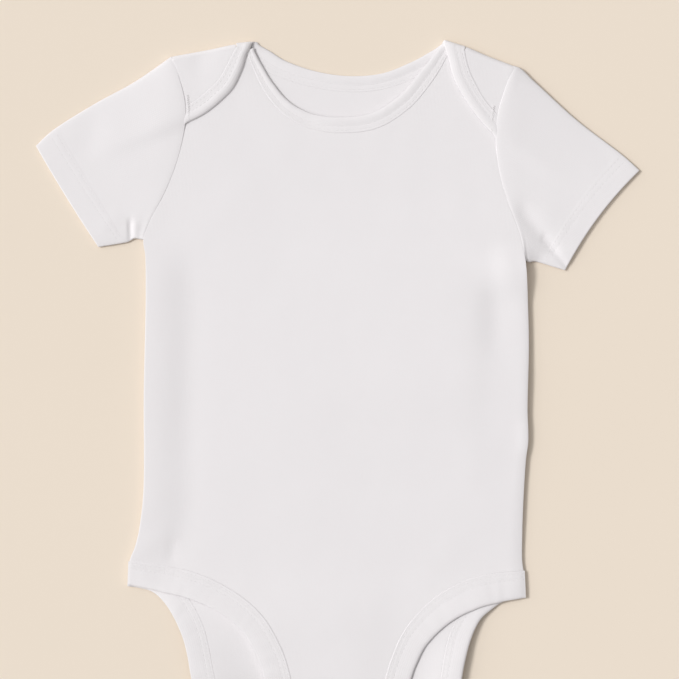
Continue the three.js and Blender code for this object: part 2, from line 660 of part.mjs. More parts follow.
// A sleeve: a flattened tube, its hem turned in and stitched
function sleeve(side) {
  const out = outward[side];
  const rows = sleeveSections[side];
  const shoulderY = shoulderFold[0][side][1];
  const armhole = (v) => {
    const y = lerp(shoulderY, armpit[side], v);
    return new THREE.Vector2(edgeX(side, y) + out * armholeGap, y);
  };
  const topLine = spline([armhole(0).toArray(), ...columnOf(rows, "top")]);
  const underLine = spline([armhole(1).toArray(), ...columnOf(rows, "under")]);
  const bowLine = spline([[0, 0], ...rows.map((row, i) => [i + 1, row.bow])]);
  const hemPlace = (rows.length - 1) / rows.length;
  const plan = (s, v) => {
    const top = topLine.getPoint(s);
    const under = underLine.getPoint(s);
    const chord = under.clone().sub(top).normalize();
    const bow = 4 * v * (1 - v) * bowLine.getPoint(s).y * out;
    const straight = armhole(0).lerp(armhole(1), v);
    const curved = armhole(v).sub(straight).multiplyScalar(Math.max(1 - s / hemPlace, 0) ** 1.5);
    const point = top.clone().lerp(under, v).add(curved);
    return { x: point.x + chord.y * bow, y: point.y - chord.x * bow, width: top.distanceTo(under) };
  };
  const { squareness, crowding, wallShare } = sleeveEdge;
  const flatness = (v) => (1 - Math.abs(2 * v - 1) ** squareness) ** (1 / squareness);
  const fullness = (s, v) => {
    const along = bell((s - sleeveCap.along) / sleeveCap.reach);
    return sleeveHeight.cap * along * bell((v - sleeveCap.across) / sleeveCap.width);
  };
  const ring = (s, inset, hem) => {
    const points = [];
    for (let j = 0; j < 2 * sleeveColumns; j += 1) {
      const upper = j <= sleeveColumns;
      const k = upper ? j : 2 * sleeveColumns - j;
      const share = crowded(k / sleeveColumns, crowding);
      const { width } = plan(s, share);
      const { x, y } = plan(s, 0.5 + (share - 0.5) * (1 - (wallShare * inset) / width));
      const rest = lerp(sleeveHeight.armhole, sleeveHeight.cuff, s) + fullness(s, share);
      const face = rest + foldHeight(sleeveFolds[side], x, y);
      const limit = upper ? face + hem - inset : inset;
      points.push([x, y, lerp(sleeveHeight.seam, limit, flatness(share))]);
    }
    return points;
  };
  const stations = [0, 0.08, 0.17, 0.27, 0.38, 0.49, 0.6, 0.68, hemPlace - 0.012, hemPlace, 0.83, 0.92, 1];
  const inHem = (s) => s >= hemPlace;
  return thickTube(
    stations.map((s) => ring(s, 0, inHem(s) ? hemRise : 0)),
    stations.map((s) => ring(s, inHem(s) ? wall + hemLayer / 2 : wall, inHem(s) ? hemRise : 0)),
  );
}

// Each half of a snap is turned about its own post
function turnedPiece(profile) {
  const points = profile.map(([radius, z]) => new THREE.Vector2(radius, z));
  const lathe = new THREE.LatheGeometry(points, snapBody.sides).rotateX(Math.PI / 2);
  lathe.deleteAttribute("normal");
  lathe.deleteAttribute("uv");
  const merged = mergeVertices(lathe);
  const index = [];
  for (let k = 0; k < merged.index.count; k += 3) {
    const [a, b, c] = [0, 1, 2].map((i) => merged.index.getX(k + i));
    if (a !== b && b !== c && c !== a) {
      index.push(a, b, c);
    }
  }
  return oriented(Array.from(merged.getAttribute("position").array), index);
}

function snapStud() {
  const { flange, round, post, button, knob } = snapBody;
  const { low, flange: flangeTop, button: buttonBase, face, tip } = studHeights;
  return turnedPiece([
    [0, low],
    [flange - round, low],
    [flange, low + round],
    [flange, flangeTop],
    [post, flangeTop],
    [post, buttonBase],
    [button, buttonBase],
    [button, face],
    [knob, face],
    [knob, tip],
    [0, tip],
  ]);
}

function snapSocket() {
  const { flange, round, post, ring, recess } = snapBody;
  const { low, ceiling, ring: ringTop, cap, rim, top } = socketHeights;
  return turnedPiece([
    [0, ceiling],
    [recess, ceiling],
    [recess, low],
    [ring, low],
    [ring, ringTop],
    [post, ringTop],
    [post, cap],
    [flange, cap],
    [flange, rim],
    [flange - round, top],
    [0, top],
  ]);
}

// Finishes
const finish = (color, roughness) => new THREE.MeshStandardMaterial({ color, roughness, metalness: 0 });
const clothFinish = () => finish(0xf4f1ef, 0.95);
const bindingFinish = () => finish(0xf6f3f1, 0.93);
const snapFinish = () => finish(0xf2f0ec, 0.35);

const bodysuit = new THREE.Group();

function place(name, geometry, material) {
  const mesh = new THREE.Mesh(geometry, material);
  mesh.name = name;
  bodysuit.add(mesh);
  return mesh;
}

place("front_panel", toGeometry(frontPanel()), clothFinish());
place("back_panel", toGeometry(backPanel()), clothFinish());
place("front_neck_binding", toGeometry(frontNeckBinding()), bindingFinish());
place("back_neck_binding", toGeometry(backNeckBinding()), bindingFinish());
for (const side of sideNames) {
  place(`${side}_sleeve`, sleeve(side), clothFinish());
  place(`front_leg_band_${side}`, toGeometry(frontLegBand(side)), bindingFinish());
  place(`back_leg_band_${side}`, toGeometry(backLegBandCloth(side)), bindingFinish());
}
snapPlaces().forEach(([x, y], i) => {
  place(`snap_stud_${i + 1}`, snapStud(), snapFinish()).position.set(x, y, 0);
  place(`snap_socket_${i + 1}`, snapSocket(), snapFinish()).position.set(x, y, 0);
});

bodysuit.position.set(-middle.x, -middle.y, 0);

export default bodysuit;
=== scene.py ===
# A baby's bodysuit laid flat on a pale surface, seen from straight above.
# Plan points and heights are in millimetres until shellMesh turns them into metres.
# x runs across the suit, y from the crotch up to the neck, z up from the surface.
import json
import math
from functools import partial

import bpy
import numpy as np
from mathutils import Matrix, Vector, kdtree, noise
from mathutils.geometry import delaunay_2d_cdt

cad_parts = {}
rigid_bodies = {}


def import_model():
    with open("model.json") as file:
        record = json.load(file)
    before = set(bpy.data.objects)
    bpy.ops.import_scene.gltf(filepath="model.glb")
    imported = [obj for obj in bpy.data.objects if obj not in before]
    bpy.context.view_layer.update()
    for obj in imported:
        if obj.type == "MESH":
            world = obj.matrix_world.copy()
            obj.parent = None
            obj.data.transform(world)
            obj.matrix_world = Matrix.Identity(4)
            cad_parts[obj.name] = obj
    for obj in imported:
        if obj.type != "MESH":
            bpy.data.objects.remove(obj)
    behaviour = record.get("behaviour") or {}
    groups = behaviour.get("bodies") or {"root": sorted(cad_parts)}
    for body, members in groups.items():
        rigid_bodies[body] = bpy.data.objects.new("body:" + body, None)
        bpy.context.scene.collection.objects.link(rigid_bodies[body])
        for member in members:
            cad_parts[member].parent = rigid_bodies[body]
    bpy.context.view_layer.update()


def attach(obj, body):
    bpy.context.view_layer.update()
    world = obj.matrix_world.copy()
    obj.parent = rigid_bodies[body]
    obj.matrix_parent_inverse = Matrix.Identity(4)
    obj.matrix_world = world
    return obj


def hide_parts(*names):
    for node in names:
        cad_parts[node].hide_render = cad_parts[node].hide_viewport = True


scene = bpy.context.scene
for spare in list(scene.objects):
    bpy.data.objects.remove(spare)
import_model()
sides = ("left", "right")
outward = {"left": -1, "right": 1}
print("stage: frame loaded")

# What all the pieces share
suit = {
    "middle": (-3.6, 202.5),  # the plan point that is the scene's origin
    "wall": 0.9,  # one layer of cloth
    "frontRest": 1.7,  # inner face of the front over the back
    "seam": 0.02,  # space left between two pieces that are sewn together
    "seamDepth": 0.84,  # share of a layer's thickness that is left at a seam's edge
    "bindingRise": 0.25,  # how far a binding stands above the cloth beside it
    "innerRise": 0.1,  # the same on the inner face of the back
    "foldReach": 1.9,  # how far a shoulder fold stands out past its two layers
    "crotchReach": 3.0,  # the same at the crotch fold
    "ripple": 0.16,  # height of the cloth's own slow unevenness
    "rippleSlow": (41, 52),
    "rippleQuick": (15, 17),
    "quickShare": 0.35,
}

# Side seams and armholes: a height, then how far the left and the right edge are from the centre line
bodySections = [
    (-40, 123.8, 122), (80, 123.8, 122), (95, 123.4, 121), (104, 120.4, 119.4),
    (115, 118.2, 118.9), (137, 116.5, 118.6), (167, 117.2, 119.2), (179, 117.8, 120.2),
    (200, 118.6, 118.9), (237, 119.2, 118.3), (260, 119.7, 117), (284, 121, 115),
    (294, 122.6, 113.4), (306, 119, 110.4), (325, 110.2, 102.6), (345, 103.4, 96.2),
    (367, 99.6, 93), (381, 100.3, 93.9), (398, 105.4, 98.4), (410, 110.4, 102.5),
    (430, 116, 108),
]
sideEdge = {side: [(row[0], row[k]) for row in bodySections] for k, side in enumerate(sides, 1)}
armpit = {"left": 294, "right": 290}
shoulderFold = {
    "left": [(-109.7, 408.2), (-87, 413.3), (-72.5, 416.9), (-59.5, 419)],
    "right": [(102.6, 410.6), (86, 416.2), (72.4, 421.4), (60, 425)],
}

# Air under a shoulder lap at the neck and at the armhole, how far its free edge turns down and how
# much its binding stands out
lapLift = {
    "gap": 0.3,
    "air": (62, 96),  # how far from the middle line the air goes from one to the other
    "turn": (66, 98),
    "turnShare": 0.25,
    "turnTo": 1.08,
    "left": {"neck": 0.9, "armhole": 0.2, "turnDown": 1.15, "turnFrom": 0.55, "binding": 0},
    "right": {"neck": 0.7, "armhole": 0.15, "turnDown": 0.8, "turnFrom": 0.45, "binding": 0.15},
}

# The air in the body: how much higher than frontRest the front is at the right side seam and how
# much over most of its width, which fades to a share of that at the left side
puff = {
    "edge": [
        (60, 0), (80, 0.25), (104, 0.3), (141, 0.9), (178, 1.1), (215, 1.85),
        (240, 1.3), (262, 1.2), (284, 3.7), (304, 1.2), (332, 0),
    ],
    "full": [
        (60, 0), (80, 0.2), (104, 0.4), (141, 1.1), (178, 1.7), (215, 2.6),
        (240, 2.2), (262, 2.0), (284, 1.8), (304, 1.0), (332, 0),
    ],
    "leftShare": 0.2,
    "columns": (-100, 85),  # where it goes from that share to its full height
    "slope": (8, 36),  # how far in from the right side seam the front goes from one to the other
}

# Along the side seams: the front's rise towards the left edge, its valley further in and its drop
# at the very edge. The back rises to meet it over the given width.
sideRise = {
    "height": 1.25,
    "inset": (4, 34),
    "rows": (55, 78, 262, 302),
    "hip": (92, 128),
    "hipShare": 0.35,
}
sideValley = {
    "left": {"inset": 25, "width": 9, "height": 0.3, "rows": (55, 78, 262, 302)},
    "right": {"inset": 21, "width": 8, "height": 0.5, "rows": (222, 245, 285, 312)},
}
sideDrop = {
    "left": {"chest": {"width": 1.2, "height": 0.1}, "hip": {"width": 1.2, "height": 0.1}},
    "right": {"chest": {"width": 3.5, "height": 0.45}, "hip": {"width": 8, "height": 0.8}},
    "toChest": (100, 205),
    "rows": (60, 78, 262, 290),
}
backRise = {"width": 5, "gap": 0.12, "rows": (55, 78, 286, 302)}

# The crotch lies a little higher, over its folded flap and snaps, less so on the right
crotchLift = {"height": 3.0, "rows": (8, 30, 56, 100), "columns": (92, 124)}
crotchDip = {"x": 52, "width": 26, "share": 0.35}
crotchTab = {"height": 0.6, "rows": (4, 26)}
crotchFlap = {"height": 6.4, "hemDrop": 1.2, "rows": (-1.5, 8), "ripple": 0.4}

# Soft ridges and troughs: the two ends of each, its half width and its height
frontFolds = [
    ((-122, 98), (-104, 112), 6, 0.2),
    ((-98, 98), (-97, 106), 3.2, -0.28),
    ((121, 176), (119, 186), 5, 0.45),
    ((-92, 405), (-88, 414), 6, -0.3),
    ((-86, 250), (-92, 170), 14, -0.22),
    ((96, 262), (92, 190), 12, -0.38),
    ((-60, 330), (-88, 300), 13, 0.16),
    ((-54, 402), (-24, 374), 8, -0.45),
    ((64, 150), (60, 100), 60, -0.35),
    ((70, 322), (92, 288), 12, 0.18),
    ((18, 250), (26, 150), 24, -0.14),
    ((-34, 222), (-22, 128), 20, 0.12),
    ((-12, 44), (34, 40), 15, -0.3),
    ((60, 88), (74, 112), 9, 0.16),
]
backFolds = [
    ((-64, 240), (-30, 212), 16, 0.22),
    ((34, 262), (76, 236), 14, 0.26),
    ((-40, 120), (-84, 96), 12, 0.24),
    ((52, 108), (90, 92), 13, 0.2),
    ((-8, 330), (22, 346), 18, 0.16),
    ((6, 60), (12, 12), 12, 0.2),
]


def lerp(a, b, t):
    return a + (b - a) * t


def smooth(value, low, high):
    t = min(max((value - low) / (high - low), 0), 1)
    return t * t * (3 - 2 * t)


def bell(value):
    return math.exp(-value * value)


def crowded(t, amount):
    # a share of the way across, moved nearer to the two ends
    return lerp(t, (1 - math.cos(math.pi * t)) / 2, amount)


def profileAt(rows, y):
    # a value that changes smoothly from row to row, each a height and the value there
    for (lowY, low), (highY, high) in zip(rows, rows[1:]):
        if y < highY:
            return lerp(low, high, smooth(y, lowY, highY))
    return rows[-1][1]


def sectionAt(side, y):
    rows = sideEdge[side]
    last = len(rows) - 1

    def slope(k):
        (lowY, low), (highY, high) = rows[max(k - 1, 0)], rows[min(k + 1, last)]
        return (high - low) / (highY - lowY)

    i = 0
    while i < last - 1 and rows[i + 1][0] < y:
        i += 1
    (lowY, low), (highY, high) = rows[i], rows[i + 1]
    span = highY - lowY
    t = min(max((y - lowY) / span, 0), 1)
    bend = t * (1 - t) * span * (slope(i) * (1 - t) - slope(i + 1) * t)
    return lerp(low, high, t * t * (3 - 2 * t)) + bend


def edgeX(side, y):
    return outward[side] * sectionAt(side, y)


def foldHeight(folds, x, y):
    total = 0
    for (ax, ay), (bx, by), width, height in folds:
        dx, dy = bx - ax, by - ay
        t = min(max(((x - ax) * dx + (y - ay) * dy) / (dx * dx + dy * dy), 0), 1)
        away = math.hypot(x - ax - dx * t, y - ay - dy * t) / width
        if away < 3:
            total += height * bell(away)
    return total


def ripple(x, y, seed=0):
    slow, quick = (
        noise.noise(Vector((x / width, y / long, seed + shift)))
        for (width, long), shift in ((suit["rippleSlow"], 0), (suit["rippleQuick"], 7))
    )
    return suit["ripple"] * (slow + suit["quickShare"] * quick)


# Heights of the layers over any point of the plan
def nearSide(x, y):
    # the nearer side seam and how far it is
    toLeft, toRight = x - edgeX("left", y), edgeX("right", y) - x
    return ("left", max(toLeft, 0)) if toLeft < toRight else ("right", max(toRight, 0))


def between(value, rows):
    # a share that is full between the two middle rows and fades out at both sides of them
    return smooth(value, rows[0], rows[1]) * (1 - smooth(value, rows[2], rows[3]))


def dropAt(side, inset, y):
    hip, chest = sideDrop[side]["hip"], sideDrop[side]["chest"]
    share = smooth(y, *sideDrop["toChest"])
    width = lerp(hip["width"], chest["width"], share)
    down = lerp(hip["height"], chest["height"], share) * max(1 - inset / width, 0) ** 2
    return down * between(y, sideDrop["rows"])


def sideHeight(side, inset, x, y):
    # how much higher than frontRest the front is, from its air and its side seams
    full = profileAt(puff["full"], y) * lerp(puff["leftShare"], 1, smooth(x, *puff["columns"]))
    valley = sideValley[side]
    dip = bell((inset - valley["inset"]) / valley["width"]) * between(y, valley["rows"])
    low = valley["height"] * dip + dropAt(side, inset, y)
    if side == "left":
        share = lerp(sideRise["hipShare"], 1, smooth(y, *sideRise["hip"])) * between(y, sideRise["rows"])
        return full + sideRise["height"] * share * (1 - smooth(inset, *sideRise["inset"])) - low
    return lerp(profileAt(puff["edge"], y), full, smooth(inset, *puff["slope"])) - low


def crotchRise(x, y):
    dip = 1 - crotchDip["share"] * bell((x - crotchDip["x"]) / crotchDip["width"])
    rise = crotchLift["height"] * dip * between(y, crotchLift["rows"])
    return rise * (1 - smooth(abs(x), *crotchLift["columns"]))


def backUnder(x, y):
    side, inset = nearSide(x, y)
    rise = 0
    if inset < backRise["width"]:
        meeting = suit["frontRest"] + sideHeight(side, 0, edgeX(side, y), y) - suit["wall"]
        meeting -= backRise["gap"]
        share = (1 - smooth(inset, 0, backRise["width"])) * between(y, backRise["rows"])
        rise = max(meeting, 0) * share
    return rise + crotchRise(x, y) + legCurl(x, y) + foldHeight(backFolds, x, y)


def frontUnder(x, y):
    side, inset = nearSide(x, y)
    tab = crotchTab["height"] * (1 - smooth(y, *crotchTab["rows"]))
    rest = suit["frontRest"] + sideHeight(side, inset, x, y) + crotchRise(x, y)
    return rest + foldHeight(frontFolds, x, y) + tab + ripple(x, y)


def lapUnder(x, y):
    lift = lapLift["left" if x < 0 else "right"]
    air = lerp(lift["neck"], lift["armhole"], smooth(abs(x), *lapLift["air"]))
    return frontUnder(x, y) + suit["wall"] + lapLift["gap"] + air


def lapBinding(t, x, y):
    # the same under a lap's binding, turned down towards the free edge
    lift = lapLift["left" if x < 0 else "right"]
    share = lerp(1, lapLift["turnShare"], smooth(abs(x), *lapLift["turn"]))
    down = lift["turnDown"] * share * smooth(t, lift["turnFrom"], lapLift["turnTo"])
    return lapUnder(x, y) + lift["binding"] - down


def flapUnder(x, y):
    look = crotchFlap
    return look["height"] - look["hemDrop"] * smooth(y, *look["rows"]) + look["ripple"] * ripple(x, y, 3)


# Beside the crotch the back's leg edges curl up off the surface
curl = {
    "reach": {"left": 34, "right": 24},  # how far out of the front's leg band it is full
    "left": [(10, 2.4), (40, 2.2), (58, 1.2), (76, 0.4), (90, 0)],
    "right": [(10, 1.5), (41, 1.3), (60, 0.5), (80, 0.3), (90, 0)],
    "from": 1.5,
    "end": (-10, 14),
}


def legCurl(x, y):
    side = "left" if x < 10 else "right"
    height = profileAt(curl[side], y) * smooth(y, *curl["end"])
    if not height:
        return 0
    line = bandLine[side]
    k = min(range(len(line) - 1), key=lambda i: math.dist(line[i], (x, y)))
    (ax, ay), (bx, by) = line[k], line[k + 1]
    across = ((bx - ax) * (y - ay) - (by - ay) * (x - ax)) * outward[side]
    away = math.dist((ax, ay), (x, y))
    return height * smooth(away, curl["from"], curl["reach"][side]) if across > 0 else 0


# Plan curves
class PlanLine:
    # a smooth curve through plan points, with lines beside it on the right of its travel
    def __init__(self, points):
        self.points = points

    def at(self, t):
        points = self.points
        last = len(points) - 1
        place = min(max(t, 0), 1) * last
        i = min(int(place), last - 1)
        w = place - i
        near = [points[max(i - 1, 0)], points[i], points[i + 1], points[min(i + 2, last)]]
        return tuple(self.blend(w, *(p[axis] for p in near)) for axis in (0, 1))

    def blend(self, w, p0, p1, p2, p3):
        v0, v1 = (p2 - p0) / 2, (p3 - p1) / 2
        cubic = (2 * p1 - 2 * p2 + v0 + v1) * w**3
        return cubic + (-3 * p1 + 3 * p2 - 2 * v0 - v1) * w**2 + v0 * w + p1

    def tangent(self, t):
        low, high = max(t - 1e-4, 0), min(t + 1e-4, 1)
        (ax, ay), (bx, by) = self.at(low), self.at(high)
        size = math.hypot(bx - ax, by - ay)
        return (bx - ax) / size, (by - ay) / size

    def beside(self, t, distance):
        x, y = self.at(t)
        tx, ty = self.tangent(t)
        return x + ty * distance, y - tx * distance

    def run(self, distance=0, low=0, high=1, count=200):
        return [self.beside(lerp(low, high, k / count), distance) for k in range(count + 1)]


def lengths(points):
    total = [0]
    for a, b in zip(points, points[1:]):
        total.append(total[-1] + math.dist(a, b))
    return total


def evenly(points, step):
    # the same polyline with its points about one step apart
    total = lengths(points)
    count = max(int(round(total[-1] / step)), 1)
    found = []
    k = 0
    for i in range(count + 1):
        goal = total[-1] * i / count
        while k < len(points) - 2 and total[k + 1] < goal:
            k += 1
        span = total[k + 1] - total[k]
        t = (goal - total[k]) / span if span else 0
        found.append(tuple(lerp(a, b, t) for a, b in zip(points[k], points[k + 1])))
    return found


def ringOf(*runs):
    # one closed outline from polylines that follow each other
    found = []
    for run in runs:
        for point in run:
            if not found or math.dist(point, found[-1]) > 0.05:
                found.append(point)
    if math.dist(found[0], found[-1]) < 0.05:
        found.pop()
    return found


def keepWhile(points, test):
    # the part of a polyline where test is positive, cut exactly where it passes zero
    found = []
    for a, b in zip(points, points[1:]):
        ta, tb = test(*a), test(*b)
        if ta > 0:
            found.append(a)
        if (ta > 0) != (tb > 0):
            t = ta / (ta - tb)
            found.append(tuple(lerp(p, q, t) for p, q in zip(a, b)))
    if test(*points[-1]) > 0:
        found.append(points[-1])
    return found


# Meshes
edgeRows = (0.14, 0.4, 0.8, 1.7)  # how far in from a piece's edge its outermost rows of points are
edgeRound = {
    "lit": 0.14,
    "shaded": 1.7,
    "sewnLit": 0.3,
    "sewnShaded": 1.1,
    "away": (0.97, -0.24),  # from the light
    "turn": (-0.3, 0.6),
    "reach": 3.6,
    "freeDepth": 0.05,
    "sharp": 65,
}


def insideOf(outline, points):
    ring = np.array(outline)
    px, py = points[:, 0], points[:, 1]
    inside = np.zeros(len(points), bool)
    for (ax, ay), (bx, by) in zip(ring, np.roll(ring, -1, axis=0)):
        if ay != by:
            crosses = (ay > py) != (by > py)
            inside ^= crosses & (px < (bx - ax) * (py - ay) / (by - ay) + ax)
    return inside


def sheetMesh(outline, spacing, height):
    # the middle surface of a flat piece: points and triangles inside an outline
    area = sum(a[0] * b[1] - b[0] * a[1] for a, b in zip(outline, outline[1:] + outline[:1]))
    ring = outline if area > 0 else outline[::-1]
    tree = kdtree.KDTree(len(ring))
    for i, (x, y) in enumerate(ring):
        tree.insert((x, y, 0), i)
    tree.balance()
    extra = []
    for inset in edgeRows:
        for i, (x, y) in enumerate(ring):
            (ax, ay), (bx, by) = ring[i - 1], ring[(i + 1) % len(ring)]
            size = math.hypot(bx - ax, by - ay)
            extra.append((x - (by - ay) / size * inset, y + (bx - ax) / size * inset, inset))
    xs, ys = [p[0] for p in ring], [p[1] for p in ring]
    row = 0
    y = min(ys)
    while y < max(ys):
        x = min(xs) + (row % 2) * spacing / 2
        while x < max(xs):
            extra.append((x, y, edgeRows[-1] + spacing * 0.45))
            x += spacing
        y += spacing * 0.87
        row += 1
    inside = insideOf(ring, np.array([p[:2] for p in extra]))
    spots = [Vector(p) for p in ring]
    for (x, y, room), within in zip(extra, inside):
        if within and tree.find((x, y, 0))[2] > room * 0.93:
            spots.append(Vector((x, y)))
    edges = [(i, (i + 1) % len(ring)) for i in range(len(ring))]
    flat, _, faces, _, _, _ = delaunay_2d_cdt(spots, edges, [], 1, 1e-5)
    spots = [(p.x, p.y, height(p.x, p.y)) for p in flat]
    return spots, [tuple(f) for f in faces], [(p.x, p.y) for p in flat]


def gridMesh(rows, lay=None):
    # the middle surface of a strip: rows of points, all of one length
    across = len(rows[0])
    spots = [p for row in rows for p in row]
    faces = []
    for i in range(len(rows) - 1):
        for j in range(across - 1):
            k = i * across + j
            faces.append((k, k + 1, k + across + 1, k + across))
    return spots, faces, lay or [(p[0], p[1]) for p in spots]


def joined(*parts):
    # several middle surfaces as one, their shared border points made one
    spots = [p for part in parts for p in part[0]]
    lay = [l for part in parts for l in part[2]]
    tree = kdtree.KDTree(len(spots))
    for i, p in enumerate(spots):
        tree.insert(p, i)
    tree.balance()
    same = [min(i for _, i, _ in tree.find_range(p, 0.02)) for p in spots]
    kept = sorted(set(same))
    place = {old: new for new, old in enumerate(kept)}
    faces = []
    first = 0
    for partSpots, partFaces, _ in parts:
        for face in partFaces:
            found = tuple(place[same[first + k]] for k in face)
            if len(set(found)) == len(found):
                faces.append(found)
        first += len(partSpots)
    return [spots[i] for i in kept], faces, [lay[i] for i in kept]


def shellMesh(name, middle, thick, sewnAt=None):
    # a closed thin shell on both sides of a middle surface: free edges are rounded on top, most of all
    # those that roll away to the right, and sewn ones dip a little
    spots, faces, lay = middle
    points = np.array(spots, float)
    normals = np.zeros_like(points)
    for face in faces:
        a, b, c = points[face[0]], points[face[1]], points[face[2]]
        normal = np.cross(b - a, c - a)
        if len(face) == 4:
            normal = np.cross(c - a, points[face[3]] - b)
        for k in face:
            normals[k] += normal
    normals /= np.linalg.norm(normals, axis=1)[:, None] + 1e-12
    directed = {(f[i], f[(i + 1) % len(f)]) for f in faces for i in range(len(f))}
    border = [(a, b) for a, b in directed if (b, a) not in directed]
    ends = {}
    for a, b in border:
        ends.setdefault(a, []).append(b)
        ends.setdefault(b, []).append(a)
    facing = np.zeros((len(points), 2))
    for face in faces:
        for a, b in zip(face, face[1:] + face[:1]):
            if (b, a) not in directed:
                outwards = (points[a] + points[b])[:2] / 2 - points[list(face)].mean(axis=0)[:2]
                facing[a] += outwards
                facing[b] += outwards
    facing /= np.linalg.norm(facing, axis=1)[:, None] + 1e-12
    tree = kdtree.KDTree(len(ends))
    for k in ends:
        tree.insert(points[k], k)
    tree.balance()
    half = np.full(len(points), 1.0)
    settled = np.zeros(len(points))
    kept = suit["seamDepth"] ** 2
    for i, p in enumerate(points):
        _, near, away = tree.find(p)
        if away > edgeRound["reach"]:
            continue
        sewn = sewnAt is None or sewnAt(lay[i])
        shaded = smooth(np.dot(facing[near], edgeRound["away"]), *edgeRound["turn"])
        kinds = ("sewnLit", "sewnShaded") if sewn else ("lit", "shaded")
        rounding = lerp(*(edgeRound[kind] for kind in kinds), shaded)
        for other in ends[near]:
            a, b = points[near], points[other]
            t = min(max(np.dot(p - a, b - a) / np.dot(b - a, b - a), 0), 1)
            away = min(away, np.linalg.norm(p - a - (b - a) * t))
        short = 1 - min(away / rounding, 1)
        half[i] = math.sqrt(1 - short * short * (1 - (kept if sewn else edgeRound["freeDepth"])))
        settled[i] = 0 if sewn else 1 - half[i]
    thickness = thick if isinstance(thick, (int, float)) else np.array([thick(*p) for p in spots])
    offset = normals * (half * thickness / 2)[:, None]
    points[:, 2] -= settled * thickness / 2
    count = len(points)
    allFaces = list(faces) + [tuple(k + count for k in reversed(f)) for f in faces]
    allFaces += [(b, a, a + count, b + count) for a, b in sorted(border)]
    return solidObject(name, np.vstack([points + offset, points - offset]), allFaces, lay + lay)


def solidObject(name, points, faces, lay):
    mx, my = suit["middle"]
    metres = (np.array(points, float) - (mx, my, 0)) / 1000
    mesh = bpy.data.meshes.new(name)
    mesh.from_pydata([tuple(p) for p in metres], [], faces)
    mesh.validate()
    mesh.shade_smooth()
    mesh.set_sharp_from_angle(angle=math.radians(edgeRound["sharp"]))
    attribute = mesh.attributes.new("lay", "FLOAT_VECTOR", "POINT")
    attribute.data.foreach_set("vector", [c / 1000 for l in lay for c in (l[0], l[1], 0)])
    piece = bpy.data.objects.new(name, mesh)
    scene.collection.objects.link(piece)
    return piece


print("stage: helpers ready")

# Folds of the back over the shoulders and at the crotch, and the axis that each shoulder turns about,
# from the armhole to the neck
foldSteps = {"cloth": 10, "strip": 12}
shoulderLine = {side: PlanLine(shoulderFold[side]) for side in sides}


def shoulderAxis(side, t, extra=0):
    return shoulderLine[side].beside(t, -outward[side] * (2.5 + extra))


axisRun = {
    (side, extra): [shoulderAxis(side, k / 60, extra) for k in range(61)]
    for side in sides
    for extra in (0, 0.5)
}


def axisY(side, x, extra=0):
    run = axisRun[side, extra]
    for a, b in zip(run, run[1:]):
        if abs(b[0]) <= abs(x) <= abs(a[0]):
            return lerp(a[1], b[1], (x - a[0]) / (b[0] - a[0]))
    a, b = (run[0], run[1]) if abs(x) > abs(run[0][0]) else (run[-2], run[-1])
    return a[1] + (b[1] - a[1]) * (x - a[0]) / (b[0] - a[0])


def armholeRun(side, low, extra=0, outset=0):
    # up the armhole from low to the shoulder's axis
    run = [(edgeX(side, y) + outward[side] * outset, y) for y in np.linspace(low, 428, 160)]
    return keepWhile(run, lambda x, y: axisY(side, x, extra) - y)


def axisBetween(side, nearX, step=1.3):
    # along the axis from the armhole to nearX
    end = armholeRun(side, armpit[side])[-1]
    inner = [p for p in axisRun[side, 0] if abs(nearX) + 0.3 < abs(p[0]) < abs(end[0]) - 0.3]
    return evenly([end, *inner, (nearX, axisY(side, nearX))], step)


def shoulderNormal(side, t):
    tx, ty = shoulderLine[side].tangent(t)
    return outward[side] * ty, -outward[side] * tx


def shoulderNormalNear(side, x, y):
    nearest = min(range(61), key=lambda k: math.dist(axisRun[side, 0][k], (x, y)))
    return shoulderNormal(side, nearest / 60)


def halfTurn(steps):
    # round a fold from its lower layer to its upper one: how far out and how far up, from -1 to 1
    turns = [math.pi * (k / steps - 0.5) for k in range(steps + 1)]
    return [(math.cos(turn), math.sin(turn)) for turn in turns]


def foldedCloth(points, under, reach, normalAt):
    # the cloth that turns over a fold, from the back's layer up to the one under() gives
    half = suit["wall"] / 2
    rows = []
    for x, y in points:
        nx, ny = normalAt(x, y)
        low, high = backUnder(x, y) + half, under(x, y) + half
        rows.append([
            (x + nx * reach * out, y + ny * reach * out, (low + high) / 2 + (high - low) / 2 * up)
            for out, up in halfTurn(foldSteps["cloth"])
        ])
    return rows


# Front panel
frontPanel = {"spacing": 2.3, "edgeStep": 1.2, "bandWidth": 15.6}
neckSeam = PlanLine([
    (-63.5, 413.5), (-59.8, 404.9), (-50.9, 388.2), (-38.4, 374.8), (-20.8, 366.5), (-1, 364.9),
    (20, 368.9), (38.9, 381.8), (53, 399.9), (61.2, 415.3), (64.5, 421.5),
])
legSeam = {
    "left": PlanLine([
        (-124.5, 94.6), (-99, 92.6), (-77.3, 87.7), (-55.4, 77.1), (-38.7, 63),
        (-26.8, 43.5), (-20.7, 25.6), (-16.4, 4), (-14.6, -15),
    ]),
    "right": PlanLine([
        (123, 98.6), (101, 95.9), (82.4, 89.8), (64, 77.8), (48.6, 59.6),
        (40.9, 41.5), (37, 26), (33.4, 4), (31.6, -15),
    ]),
}


def insideSides(x, y):
    return min(x - edgeX("left", y), edgeX("right", y) - x)


def belowShoulders(x, y):
    if abs(x) < 48:
        return 1
    return axisY("left" if x < 0 else "right", x, 0.5) - y


# the free edge of each front leg band, near enough for what lies under it
bandLine = {side: legSeam[side].run(-outward[side] * frontPanel["bandWidth"], 0, 1, 60) for side in sides}


